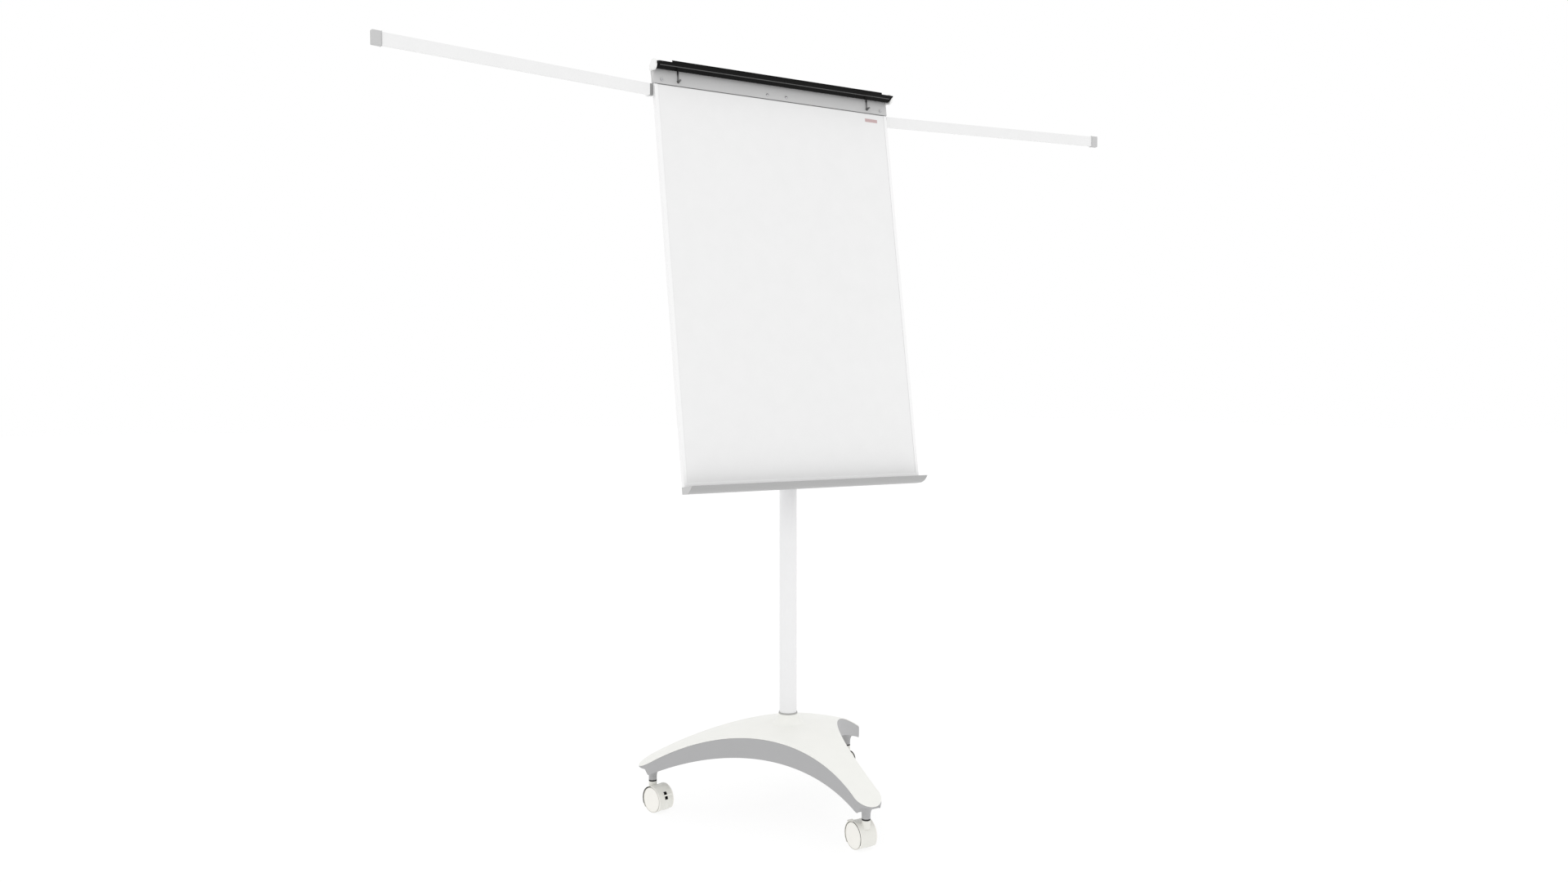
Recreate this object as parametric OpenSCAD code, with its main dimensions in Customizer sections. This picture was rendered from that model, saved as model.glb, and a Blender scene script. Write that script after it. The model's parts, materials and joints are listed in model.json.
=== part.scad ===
// Mobile flipchart easel: a leaning board with a pad clamp, pad hooks, a pen tray and
// two swing arms, carried by a telescopic post on a three-legged base with castors.
// Millimetres. +X runs along the board to the viewer's right, -Y faces the viewer, +Z is up.
// The origin is at floor level, at the middle of the bounding box.

/* [Base] */
// Distance from the post axis to each castor stem
stem_r = 353; // [300:1:450]
// Radius of the rounded end of a leg
tip_r = 36; // [30:1:44]
// Distance from the post axis to the nearest point of the hollow between two legs
waist_r = 130; // [110:1:150]
// Height of the cover's edge above the castor socket at the end of a leg
tip_rise = 41; // [38:1:60]
// Rise of the cover from its edge to its top
crown = 107; // [80:1:130]
// Wall of the domed cover
cover_t = 3; // [2:0.5:4]
// Height of the underside above the castor socket at a stem
under_rise = 25.6; // [20:0.2:34]
// Rise of the underside from a stem to its middle
under_crown = 64.4; // [50:0.2:74]
// Wall of the base frame
frame_wall = 4; // [3:0.5:6]
// Radius of the fillet between the cover and its neck
flare_r = 28; // [15:1:35]
// Height of the neck above the cover
neck_h = 25; // [20:1:45]
// Wall of the neck around the post
neck_wall = 3; // [2:0.5:5]
// Radius of the socket's outside at its mouth
socket_r = 10.5; // [8.5:0.5:12]
// Gap between a wheel and the mouth of the socket above it
socket_gap = 12; // [11.5:0.5:20]
// Height of the frame's lip under the cover's edge at the end of a leg
tip_lip = 3; // [2:0.5:6]

/* [Post] */
// Outer radius of the lower tube
post_r = 22.4; // [20:0.2:26]
// Wall of both tubes
tube_t = 2; // [1.5:0.1:3]
// Height of the top of the lower tube
post_top = 980; // [900:5:990]
// Height of the foot of the lower tube above the base's underside
post_lift = 5; // [3:1:12]
// Wall of the guide bush between the tubes
bush_t = 1.9; // [1.5:0.1:4]
// Height of the foot of the inner tube
inner_foot = 600; // [500:10:650]
// Length of the guide bush
bush_len = 60; // [40:5:90]
// Wall of the height collar
collar_t = 6.6; // [5:0.2:9]
// Height of the height collar
collar_h = 45; // [36:1:60]
// Radius of the height knob's grip
knob_r = 16; // [12:1:22]
// Radius of the height knob's screw
knob_screw_r = 4; // [3:0.5:5]

/* [Tilt head] */
// Height of the tilt axis above the floor
head_z = 1150; // [1140:5:1190]
// Distance from the writing face back to the tilt axis
pivot_n = 51; // [50:0.5:60]
// Distance of the tilt axis up the board
pivot_h = 300; // [280:5:400]
// Radius of the tilt pin
pin_r = 5; // [4:0.5:6]
// Width of the head between the bracket's ears
head_w = 24; // [20:1:30]
// Radius of the head and of the ears
head_r = 14; // [12:0.5:16]
// Thickness of an ear
ear_t = 5; // [4:0.5:8]
// Gap between the bracket's plate and each stiffener
bracket_gap = 4; // [2:0.5:12]
// Half the height of the bracket's plate
bracket_half_h = 60; // [50:1:80]
// Length of the locking lever
lever_len = 50; // [40:1:50]

/* [Board] */
// Width of the board
board_w = 700; // [650:5:900]
// Height of the board
board_h = 1040; // [900:5:1200]
// Backward lean of the board in degrees
board_lean = 8.9; // [0:0.1:15]
// Width of the frame's lips
lip_w = 9; // [7:0.5:14]
// Wall of the frame
lip_t = 1.2; // [1:0.1:2]
// Thickness of the steel writing sheet
sheet_t = 1; // [0.8:0.1:1.5]
// Thickness of the core
core_t = 9; // [6:0.5:12]
// Thickness of the rear sheet
back_t = 1; // [0.6:0.1:1.5]
// Distance from the middle of the board to each stiffener
rail_x = 76; // [75:1:120]
// Width of a stiffener
rail_w = 40; // [30:1:44]
// Depth of a stiffener
rail_d = 12; // [8:1:14]

/* [Top strip] */
// Thickness of the strip's sheet
strip_t = 1.2; // [1:0.1:2]
// Height of the screws, studs and pegs above the strip's lower edge
fix_h = 10; // [9:0.5:12]
// Distance from each end of the board to the end screw
end_screw_in = 20; // [10:1:50]
// Distance from the middle of the board to each stud
stud_x = 28.5; // [20:0.5:60]
// Radius of the screw and stud heads
stud_r = 4; // [3:0.5:5]

/* [Clamp] */
// Gap between the clamp's barrel and the stems of the hooks
clamp_gap = 0.9; // [0.6:0.1:4]
// Distance of the clamp's axis below the top of the board
clamp_drop = 5; // [3:0.5:8]
// Radius of the clamp's barrel
barrel_r = 9.3; // [8:0.1:11.5]
// Distance from the clamp's axis to the centre of its lip
lip_reach = 23.2; // [19:0.2:30]
// Radius of the clamp's lip
lip_r = 1.3; // [1:0.1:2]
// Height of the grip rib above the lip
rib_h = 5; // [3:0.5:7]
// Distance from each end of the clamp to the grip rib
rib_inset = 36; // [20:1:60]
// Radius of the clamp's rod
rod_r = 3; // [2.5:0.5:4]
// Radius of the clamp's end brackets
clamp_end_r = 14; // [12:0.5:16]
// Thickness of the clamp's end brackets
clamp_end_t = 7; // [5:0.5:10]

/* [Pad hooks] */
// Half the distance between the two hooks
hook_x = 285; // [150:1:290]
// Width of a hook's stem
hook_w = 4; // [3:0.5:6]
// Thickness of a hook's stem
hook_t = 1.6; // [1.2:0.1:1.8]
// Width of a hook's saddle
saddle_w = 16; // [10:1:20]
// Radius of a hook's peg
peg_r = 2.5; // [2:0.1:3]
// Length of a hook's peg
peg_len = 11; // [8:0.5:14]
// Gap between the closed clamp's lip and the pegs
peg_gap = 4.4; // [2:0.2:12]

/* [Pen tray] */
// Distance that the tray stands in front of the writing face
tray_n = 39; // [30:1:60]
// Height of the tray
tray_h = 17; // [14:0.5:20]
// Wall of the tray
tray_t = 2; // [1.5:0.1:3]
// Thickness of the tray's end caps
tray_cap_t = 2; // [1.5:0.5:4]

/* [Swing arms] */
// Gap between the strip and the arms below it
arm_gap = 1.6; // [1:0.2:40]
// How much shorter the reach of an arm is than the board's width
arm_short = 3; // [2:1:200]
// Height of an arm
arm_h = 28; // [24:1:28]
// Thickness of an arm
arm_t = 9; // [7:0.5:9]
// Wall of an arm's tube
arm_wall = 1.2; // [1:0.1:2]
// Forward swing of an arm in degrees
arm_swing = 8.7; // [0:0.1:10]
// Distance from the board's edge out to the hinge axis
arm_out = 10; // [10:0.5:14]
// Depth of an arm's middle behind the writing face when it is swung out
arm_n = 6; // [4:0.5:8]
// Offset of the left arm from its hinge axis
arm_off_left = 11; // [11:0.5:12]
// Offset of the right arm from its hinge axis
arm_off_right = 17.5; // [17.5:0.5:20]
// Radius of an arm's hinge pin
arm_pin_r = 2.5; // [2:0.5:3]
// Length of an arm's end cap
arm_cap_len = 21; // [15:1:30]

/* [Castors] */
// Radius of a wheel
wheel_r = 32.5; // [30:0.5:33]
// Width of a wheel
wheel_w = 18.5; // [15:0.5:22]
// Distance from the stem axis to the wheel axis
trail = 22; // [18:1:26]
// Thickness of the web between the wheels
web_t = 9; // [8:0.5:12]
// Thickness of the hood's wall
hood_t = 1.6; // [1.2:0.1:2.8]
// Height of the hood's lower edge above the floor
hood_z = 9; // [6:0.5:14]
// Radius of the stem
stem_pin_r = 5; // [4:0.5:6]
// Radius of the axle
axle_r = 3; // [2.5:0.5:4]
// Elevation of the brake pedal above the wheel axis in degrees
pedal_angle = 24; // [15:1:30]
// Distance that the brake pedal reaches beyond the hood
pedal_out = 15.5; // [10:0.5:20]

/* [Clearances] */
// Radial clearance of a shaft that turns or slides in a hole
run_gap = 0.06; // [0.03:0.01:0.09]
// Clearance between faces that move past each other
slide_gap = 0.3; // [0.2:0.05:0.5]
// Clearance around a part that is fixed
fit_gap = 0.5; // [0.3:0.1:0.8]

/* [Hidden] */
LEG_NAMES = ["front", "right", "left"];
LEG_ANGLES = [-90, 30, 150];
TRAIL_ANGLES = [90, -168, -77];
CASTOR_PIECES = ["hood", "stem", "axle", "wheel_a", "wheel_b", "pedal"];
BODY_NODES = [
  "base_frame", "base_cover", "base_screws", "post_ring", "lower_tube", "guide_bush", "post_bolt",
  "height_collar", "height_knob", "inner_tube", "glide_plug", "post_head",
  "writing_sheet", "board_core", "rear_sheet", "frame_left", "frame_right", "frame_top",
  "frame_bottom", "stiffeners", "tilt_bracket", "tilt_pin", "bracket_screws", "tilt_lever",
  "top_strip", "strip_screws", "strip_studs", "clamp_rod", "clamp_ends", "clamp_bar",
  "hook_left", "hook_right", "pen_tray", "tray_ends", "arm_brackets", "arm_pins",
  "arm_left", "arm_right", "arm_knuckle_left", "arm_knuckle_right", "arm_cap_left", "arm_cap_right"
];

$fn = 64;
fine = 360;
SIDES = [-1, 1];
leg_gap = 360 / len(LEG_ANGLES);

// The radius of an arc that rises by the given height over half a chord.
function arc_radius(half_chord, rise) = (pow(half_chord, 2) + pow(rise, 2)) / (2 * rise);

// The origin is the middle of the box: one leg points forward, two point half as far back.
column_y = stem_r / 4;

// The hollow between two legs is an arc that runs into the rounded ends of both legs.
// The leg is a hair narrower than its end, so that the two outlines cross and don't just touch.
tip_step = 0.4;
leg_taper = waist_r - (tip_r - tip_step);
arc_d = (pow(stem_r, 2) - pow(leg_taper, 2)) / (stem_r - 2 * leg_taper);
arc_r = arc_d - waist_r;
socket_z = 2 * wheel_r + socket_gap;
socket_neck = 9;
trumpet_r = tip_rise - cover_t - socket_neck - 2;
tip_slope = 60;
tip_cut_in = 18;
tip_top = socket_z + tip_rise;
dome_top = tip_top + crown;
dome_r = arc_radius(stem_r + tip_r, crown);
under_top = socket_z + under_rise + under_crown;
under_r = arc_radius(stem_r, under_crown);
post_foot = under_top + post_lift;
neck_top = dome_top + neck_h;
neck_r = post_r + neck_wall;
neck_foot = dome_top - 13;
flare_reach = neck_r + flare_r;
hub_r = post_r + 10;
hub_floor = post_foot - 8;
rib_x = 13;
leg_rib_t = 3;
rib_clear = 8;
rib_root = 8;
cover_screw_r = 2;
cover_screw_at = 0.55 * stem_r;
cover_boss_r = 6;
cover_screw_len = 40;
screw_head_t = 2;
screw_seat_drop = 1.5;
stem_top = socket_z + 30;

foot_plug_h = 14;
post_bolt_r = 6;
washer_r = 15;
washer_t = 3;
bolt_head_r = 10.5;
bolt_head_h = 8;
ring_t = 1.9;
ring_h = 4;

board_foot_y = -(pivot_n * cos(board_lean) + pivot_h * sin(board_lean));
board_foot_z = head_z + pivot_n * sin(board_lean) - pivot_h * cos(board_lean);
frame_front = -lip_t;
stack_t = sheet_t + core_t + back_t;
frame_back = stack_t + lip_t;
panel_half_w = board_w / 2 - lip_t - fit_gap;
rail_foot = 20;
rail_wall = 2;
rail_head = board_h - 116;

bore_r = post_r - tube_t;
inner_r = bore_r - bush_t;
collar_r = post_r + collar_t;
bush_foot = post_top - bush_len;
bush_lip = 3;
head_cup_h = 20;
head_cup_r = inner_r + 3;
plug_h = 25;
collar_top = post_top - 5;
collar_z = collar_top - collar_h / 2;
knob_boss_r = 9;
knob_boss_y = collar_r + 9;
knob_tip_y = inner_r + slide_gap;
knob_face_y = knob_boss_y + 3;
knob_grip = 18;
knob_lobes = 5;

head_foot = head_z - 22;
head_floor_t = 2;
ear_in = head_w / 2 + slide_gap;
ear_out = ear_in + ear_t;
plate_back = stack_t + 3;
lever_in = ear_out + slide_gap;
blade_in = max(lever_in + 2, head_cup_r + 1.5);
blade_out = blade_in + 6;
lever_out = blade_out + 2;
bracket_half_w = rail_x - rail_w / 2 - bracket_gap;
lever_ball_r = 6;
lever_grip_t = 9;
bracket_screw_r = 2.5;
bracket_screw_in = 12;
bracket_screw_head = [4.5, 2.4];
pin_end_t = 2;

strip_h = clamp_drop + lip_reach + lip_r + peg_gap + peg_r + fix_h;
strip_z = board_h - strip_h;
end_screw_x = board_w / 2 - end_screw_in;
strip_front = frame_front - strip_t;
strip_half_w = board_w / 2 + strip_t;
strip_tail = 21;
fix_z = strip_z + fix_h;

clamp_z = board_h - clamp_drop;
clamp_n = hook_t + slide_gap - strip_front + clamp_gap + barrel_r;
clamp_half_w = strip_half_w - slide_gap;
clamp_face_x = strip_half_w;
clamp_rod_end = clamp_face_x + clamp_end_t - 2;
wedge = asin((barrel_r - lip_r) / lip_reach);
rib_t = 2;
rib_edge = 0.4;

hook_back = strip_front - slide_gap;
hook_front = hook_back - hook_t;
eye_r = peg_r + 1.5;
peg_neck_r = peg_r - 0.5;
peg_neck_len = 1;
saddle_z = board_h + strip_t + slide_gap;
saddle_t = 2;
saddle_back = frame_back + strip_t + slide_gap;
saddle_tail = 11;

tray_round_r = (pow(tray_n - 6, 2) + pow(tray_h, 2)) / (2 * tray_h);
tray_round_y = -6;
tray_cap_x = board_w / 2 - tray_cap_t;

arm_up = strip_z - arm_gap - arm_h / 2;
arm_reach = board_w - arm_short;
arm_z = board_z(arm_n, arm_up);
arm_axis_x = board_w / 2 + arm_out;
lug_r = arm_off_left - arm_t / 2 - 0.5;
lug_t = 2;
lug_z = arm_h / 2 - lug_t;
hub_h = lug_z - slide_gap;
bracket_t = 2;
arm_start = 4;
plug_len = 18;
cap_over = 1.5;
cap_floor = 2;
knuckle_back = 4.5;

wheel_face = web_t / 2 + slide_gap;
hood_in_r = wheel_r + 3 * slide_gap;
hood_out_r = hood_in_r + hood_t;
hood_half_w = wheel_face + wheel_w;
pedal_pivot_r = wheel_r - 7;
pedal_reach = hood_out_r + pedal_out;
pedal_w = 6;
pedal_t = 3.4;
pedal_pin_r = 1.5;
slot_w = pedal_w + 2 * slide_gap;
slot_half_h = 9;
slot_depth = 5;
pedal_tab_half_w = 8;
pedal_tab_gap = 2.5;
pedal_eye_r = 3.6;
stem_foot = wheel_r + sqrt(pow(hood_in_r, 2) - pow(trail - stem_pin_r, 2));
stem_boss = 8;
stem_collar_t = 3;
axle_end = 4;
tread_bevel = 2.2;
face_bevel = 4.2;
groove_r = 0.6;
groove_in = 6;
castor_reach = 60;

function board_y(n, h) = board_foot_y + n * cos(board_lean) + h * sin(board_lean);
function board_z(n, h) = board_foot_z - n * sin(board_lean) + h * cos(board_lean);
function arm_axis_n(side) = arm_n + arm_off(side);
function arm_off(side) = side < 0 ? arm_off_left : arm_off_right;
function arm_tip(side) = arm_reach + (arm_off(side) - arm_off_left) * tan(arm_swing);

// ---- frames of reference ----

module at_column() {
  translate([0, column_y, 0]) children();
}

// X along the board, Y from the writing face to the back, Z up the board from its lower edge.
module at_board() {
  translate([0, column_y + board_foot_y, board_foot_z]) rotate([-board_lean, 0, 0]) children();
}

module at_leg(angle) {
  rotate([0, 0, angle]) translate([stem_r, 0, 0]) children();
}

module mirror_if(flip) {
  if (flip) mirror([1, 0, 0]) children();
  else children();
}

// X outwards from the board, Z up the hinge axis, upright and not yet swung.
module at_arm_axis(side) {
  translate([side * arm_axis_x, column_y + board_y(arm_axis_n(side), arm_up), arm_z])
    mirror_if(side < 0) children();
}

module at_arm(side) {
  at_arm_axis(side) rotate([0, 0, -arm_swing]) children();
}

// X in the direction that the wheels trail, Z up the stem.
module at_castor(index) {
  at_column()
    translate([stem_r * cos(LEG_ANGLES[index]), stem_r * sin(LEG_ANGLES[index]), 0])
      rotate([0, 0, TRAIL_ANGLES[index]]) children();
}

// Z up in the castor's frame becomes the wheel axis, with the wheel's centre at the origin.
module at_axle() {
  translate([trail, 0, wheel_r]) rotate([90, 0, 0]) children();
}

module box(low, high) {
  translate(low) cube(high - low);
}

module tube(outer, inner, low, high) {
  translate([0, 0, low]) difference() {
    cylinder(r = outer, h = high - low);
    translate([0, 0, -1]) cylinder(r = inner, h = high - low + 2);
  }
}

module rod(radius, low, high) {
  translate([0, 0, low]) cylinder(r = radius, h = high - low);
}

// A rod along X.
module cross_rod(radius, low, high) {
  rotate([0, 90, 0]) rod(radius, low, high);
}

// A rod that points forward, to -Y.
module front_rod(radius, low, high) {
  rotate([90, 0, 0]) rod(radius, low, high);
}

// ---- base ----

module star_outline(inset) {
  difference() {
    for (angle = LEG_ANGLES) rotate(angle) translate([0, -waist_r]) square([stem_r, 2 * waist_r]);
    for (angle = LEG_ANGLES) rotate(angle + leg_gap / 2) translate([arc_d, 0])
      circle(r = arc_r + inset, $fn = fine);
  }
  for (angle = LEG_ANGLES) rotate(angle) translate([stem_r, 0]) circle(r = tip_r - inset);
}

module star(inset) {
  linear_extrude(dome_top + 20) star_outline(inset);
}

// Everything below the domed surface, less the given drop.
module dome(drop) {
  translate([0, 0, dome_top - dome_r]) sphere(r = dome_r - drop, $fn = fine);
}

// Everything below the underside, plus the given lift.
module underside(lift) {
  translate([0, 0, under_top - under_r]) sphere(r = under_r + lift, $fn = fine);
}

module trumpet() {
  reach = socket_r + trumpet_r;
  rotate_extrude() difference() {
    translate([0, socket_z]) square([reach, socket_neck + trumpet_r + 20]);
    translate([reach, socket_z + socket_neck]) circle(r = trumpet_r);
    translate([socket_r, socket_z - 1]) square([reach, socket_neck + 1]);
  }
}

// Two ribs along a leg and one across it, through the cover screw's boss.
module leg_ribs() {
  for (y = [-rib_x, rib_x])
    box([hub_r - rib_root, y - leg_rib_t / 2, 0], [stem_r - socket_r, y + leg_rib_t / 2, dome_top]);
  box([cover_screw_at - leg_rib_t / 2, -waist_r, 0], [cover_screw_at + leg_rib_t / 2, waist_r, dome_top]);
}

// Everything below a slanted plane, which leaves only the flare of the socket at the end of a leg.
module tip_cut() {
  translate([tip_r - tip_cut_in, 0, tip_top - cover_t - tip_lip]) rotate([0, -tip_slope, 0])
    box([-2 * tip_r, -waist_r, -stem_r], [2 * tip_r, waist_r, 0]);
}

module base_frame() color("#acacac") at_column() difference() {
  intersection() {
    dome(cover_t);
    star(0);
    union() {
      difference() {
        union() {
          difference() {
            star(0);
            translate([0, 0, -1]) star(frame_wall);
          }
          for (angle = LEG_ANGLES) rotate([0, 0, angle]) {
            translate([cover_screw_at, 0, 0]) rod(cover_boss_r, 0, dome_top);
          }
        }
        underside(0);
        for (angle = LEG_ANGLES) at_leg(angle) tip_cut();
      }
      difference() {
        for (angle = LEG_ANGLES) rotate([0, 0, angle]) leg_ribs();
        underside(rib_clear);
      }
      for (angle = LEG_ANGLES) at_leg(angle) trumpet();
      rod(hub_r, hub_floor, neck_foot);
    }
  }
  rod(flare_reach + fit_gap, neck_foot, dome_top);
  rod(post_r, post_foot, dome_top);
  rod(post_bolt_r + fit_gap, hub_floor - 1, post_foot + 1);
  for (angle = LEG_ANGLES) rotate([0, 0, angle]) {
    translate([stem_r, 0, 0]) rod(stem_pin_r + run_gap, socket_z - 1, stem_top + fit_gap);
    translate([cover_screw_at, 0, 0]) rod(cover_screw_r, 0, dome_top);
  }
}

module base_cover() color("#f2f3ec") at_column() difference() {
  union() {
    difference() {
      intersection() {
        star(0);
        dome(0);
      }
      dome(cover_t);
    }
    rotate_extrude($fn = fine) difference() {
      translate([post_r, neck_foot]) square([flare_reach - post_r, neck_top - neck_foot]);
      translate([flare_reach, neck_top]) circle(r = flare_r);
    }
  }
  rod(post_r, 0, neck_top + 1);
}

module base_screws() color("#9a9a9a") at_column() {
  seat = under_top - pow(cover_screw_at, 2) / (2 * under_r) - screw_seat_drop;
  for (angle = LEG_ANGLES) rotate([0, 0, angle]) translate([cover_screw_at, 0, 0]) {
    rod(cover_screw_r, seat, seat + cover_screw_len);
    rod(2 * cover_screw_r, seat - screw_head_t, seat);
  }
}

module post_ring() color("#b4b4b2") at_column() tube(post_r + ring_t, post_r, neck_top, neck_top + ring_h);

module castor_stem(index) color("#2c2c2c") at_castor(index) {
  rod(stem_pin_r, stem_foot, stem_top);
  tube(socket_r, stem_pin_r, socket_z - stem_collar_t - slide_gap, socket_z - slide_gap);
}

module castor_hood(index) color("#e3e3db") at_castor(index) difference() {
  union() {
    intersection() {
      union() {
        at_axle() rod(hood_out_r, -web_t / 2, web_t / 2);
        at_axle() tube(hood_out_r, hood_in_r, -hood_half_w, hood_half_w);
      }
      box([trail - castor_reach, -castor_reach, hood_z], [trail + castor_reach, castor_reach, socket_z]);
    }
    difference() {
      rod(socket_r, stem_foot - stem_boss, socket_z - stem_collar_t - slide_gap);
      at_axle() rod(hood_in_r, -castor_reach, -web_t / 2);
      at_axle() rod(hood_in_r, web_t / 2, castor_reach);
    }
  }
  rod(stem_pin_r, stem_foot, socket_z);
  at_axle() rod(axle_r, -castor_reach, castor_reach);
  at_axle() rotate([0, 0, pedal_angle])
    box([pedal_pivot_r - slot_depth, -slot_half_h, -slot_w / 2], [hood_out_r + 5, slot_half_h, slot_w / 2]);
}

module castor_axle(index) color("#8f8f8f") at_castor(index) {
  at_axle() rod(axle_r, axle_end - hood_half_w, hood_half_w - axle_end);
  at_axle() rotate([0, 0, pedal_angle]) translate([pedal_pivot_r, 0, 0])
    rod(pedal_pin_r, -slot_w / 2, slot_w / 2);
}

module castor_wheel(index, side) color("#f6f4ec") at_castor(index) at_axle()
  mirror([0, 0, side < 0 ? 1 : 0]) difference() {
    rotate_extrude() difference() {
      translate([0, wheel_face]) square([wheel_r, wheel_w]);
      translate([wheel_r, wheel_face]) rotate(45) square(tread_bevel, center = true);
      translate([wheel_r, wheel_face + wheel_w]) rotate(45) square(face_bevel, center = true);
      translate([wheel_r - groove_in, wheel_face + wheel_w]) circle(r = groove_r);
    }
    rod(axle_r + run_gap, 0, hood_half_w - axle_end + slide_gap);
  }

module castor_pedal(index) color("#f3f1e9") at_castor(index) at_axle() rotate([0, 0, pedal_angle])
  difference() {
    union() {
      box([pedal_pivot_r, -pedal_t / 2, -pedal_w / 2], [pedal_reach, pedal_t / 2, pedal_w / 2]);
      translate([pedal_pivot_r, 0, 0]) rod(pedal_eye_r, -pedal_w / 2, pedal_w / 2);
      box([hood_out_r + pedal_tab_gap, -pedal_t / 2, -pedal_tab_half_w],
        [pedal_reach, pedal_t / 2, pedal_tab_half_w]);
    }
    translate([pedal_pivot_r, 0, 0]) rod(pedal_pin_r + run_gap, -pedal_w, pedal_w);
  }

// ---- post ----

module lower_tube() color("#ededed") at_column() difference() {
  union() {
    tube(post_r, bore_r, post_foot, post_top);
    rod(post_r, post_foot, post_foot + foot_plug_h);
  }
  rod(post_bolt_r, post_foot - 1, post_foot + foot_plug_h + 1);
  translate([0, 0, collar_z]) rotate([-90, 0, 0]) rod(knob_screw_r + run_gap, 10, post_r + 5);
}

module post_bolt() color("#8f8f8f") at_column() {
  rod(post_bolt_r, hub_floor - washer_t, post_foot + foot_plug_h);
  tube(washer_r, post_bolt_r, hub_floor - washer_t, hub_floor);
  translate([0, 0, hub_floor - washer_t - bolt_head_h]) cylinder(r = bolt_head_r, h = bolt_head_h, $fn = 6);
}

module guide_bush() color("#e8e8e4") at_column() difference() {
  union() {
    tube(bore_r, inner_r + run_gap, bush_foot, post_top);
    tube(post_r, inner_r + run_gap, post_top, post_top + bush_lip);
  }
  translate([0, 0, collar_z]) rotate([-90, 0, 0]) rod(knob_screw_r + run_gap, 10, post_r);
}

module height_collar() color("#4a4a4a") at_column() difference() {
  union() {
    rod(collar_r, collar_top - collar_h, collar_top);
    translate([0, 0, collar_z]) rotate([-90, 0, 0]) rod(knob_boss_r, post_r, knob_boss_y);
  }
  rod(post_r, collar_top - collar_h - 1, collar_top + 1);
  translate([0, 0, collar_z]) rotate([-90, 0, 0])
    rod(knob_screw_r + run_gap, post_r - 5, knob_boss_y + 1);
}

module height_knob() color("#2c2c2c") at_column() translate([0, 0, collar_z]) rotate([-90, 0, 0]) {
  rod(knob_screw_r, knob_tip_y, knob_face_y);
  translate([0, 0, knob_face_y]) linear_extrude(knob_grip) {
    circle(r = knob_r);
    for (lobe = [1:knob_lobes])
      rotate(lobe * 360 / knob_lobes) translate([knob_r, 0]) circle(r = knob_r / 3);
  }
}

module inner_tube() color("#d8d8d8") at_column() tube(inner_r, inner_r - tube_t, inner_foot, head_foot);

module glide_plug() color("#3c3c3c") at_column() difference() {
  union() {
    rod(bore_r - run_gap, inner_foot - 8, inner_foot);
    rod(inner_r - tube_t, inner_foot, inner_foot + plug_h - 8);
  }
  rod(inner_r - 2 * tube_t, inner_foot, inner_foot + plug_h);
}

module post_head() color("#5a5a5a") at_column() difference() {
  union() {
    rod(head_cup_r, head_foot - head_cup_h, head_foot + head_floor_t);
    box([-head_w / 2, -head_r, head_foot + head_floor_t / 2], [head_w / 2, head_r, head_z]);
    translate([0, 0, head_z]) cross_rod(head_r, -head_w / 2, head_w / 2);
  }
  rod(inner_r, head_foot - head_cup_h - 1, head_foot);
  translate([0, 0, head_z]) cross_rod(pin_r + run_gap, -head_w, head_w);
}

// ---- tilt mechanism, on the board ----

// Z points back from the writing face, at each corner of the bracket's plate.
module at_bracket_screws() {
  x = bracket_half_w - bracket_screw_in;
  z = bracket_half_h - bracket_screw_in;
  for (a = SIDES, b = SIDES) translate([a * x, 0, pivot_h + b * z]) rotate([-90, 0, 0]) children();
}

module tilt_bracket() color("#5a5a5a") at_board() difference() {
  union() {
    box([-bracket_half_w, stack_t, pivot_h - bracket_half_h],
      [bracket_half_w, plate_back, pivot_h + bracket_half_h]);
    for (side = SIDES) translate([side < 0 ? -ear_out : ear_in, 0, 0]) {
      box([0, plate_back, pivot_h - head_r], [ear_t, pivot_n, pivot_h + head_r]);
      translate([0, pivot_n, pivot_h]) cross_rod(head_r, 0, ear_t);
    }
  }
  translate([0, pivot_n, pivot_h]) cross_rod(pin_r, -2 * ear_out, 2 * ear_out);
  at_bracket_screws() rod(bracket_screw_r, 0, plate_back + 1);
}

module tilt_pin() color("#9a9a9a") at_board() translate([0, pivot_n, pivot_h]) {
  cross_rod(pin_r, -ear_out, lever_out + slide_gap + pin_end_t);
  cross_rod(pin_r + 3, -ear_out - 2 * pin_end_t, -ear_out);
  cross_rod(pin_r + 2, lever_out + slide_gap, lever_out + slide_gap + pin_end_t);
}

module bracket_screws() color("#9a9a9a") at_board() {
  at_bracket_screws() {
    rod(bracket_screw_r, stack_t, plate_back);
    rod(bracket_screw_head[0], plate_back, plate_back + bracket_screw_head[1]);
  }
}

module tilt_lever() color("#2c2c2c") at_board() translate([0, pivot_n, pivot_h]) difference() {
  union() {
    cross_rod(pin_r + 5, lever_in, lever_out);
    rotate([board_lean, 0, 0]) {
      box([blade_in, -lever_grip_t / 2, -lever_len], [blade_out, lever_grip_t / 2, 0]);
      translate([0, 0, -lever_len]) cross_rod(lever_ball_r, blade_in - 0.5, blade_out + 1);
    }
  }
  cross_rod(pin_r + run_gap, 0, 2 * lever_out);
}

// ---- board ----

module panel_layer(front, back) {
  box([-panel_half_w, front, lip_t + fit_gap], [panel_half_w, back, board_h - lip_t - fit_gap]);
}

module writing_sheet() color("#efefef") at_board() panel_layer(0, sheet_t);

module board_core() color("#c9b99a") at_board() panel_layer(sheet_t, sheet_t + core_t);

module rear_sheet() color("#d9d9d9") at_board() panel_layer(sheet_t + core_t, stack_t);

// A channel of the given length along Z, closed at x = 0 and open towards +X.
module channel(length) {
  box([0, frame_front, 0], [lip_t, frame_back, length]);
  box([0, frame_front, 0], [lip_w, 0, length]);
  box([0, stack_t, 0], [lip_w, frame_back, length]);
}

module side_rail() {
  translate([-board_w / 2, 0, 0]) channel(board_h);
}

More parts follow.
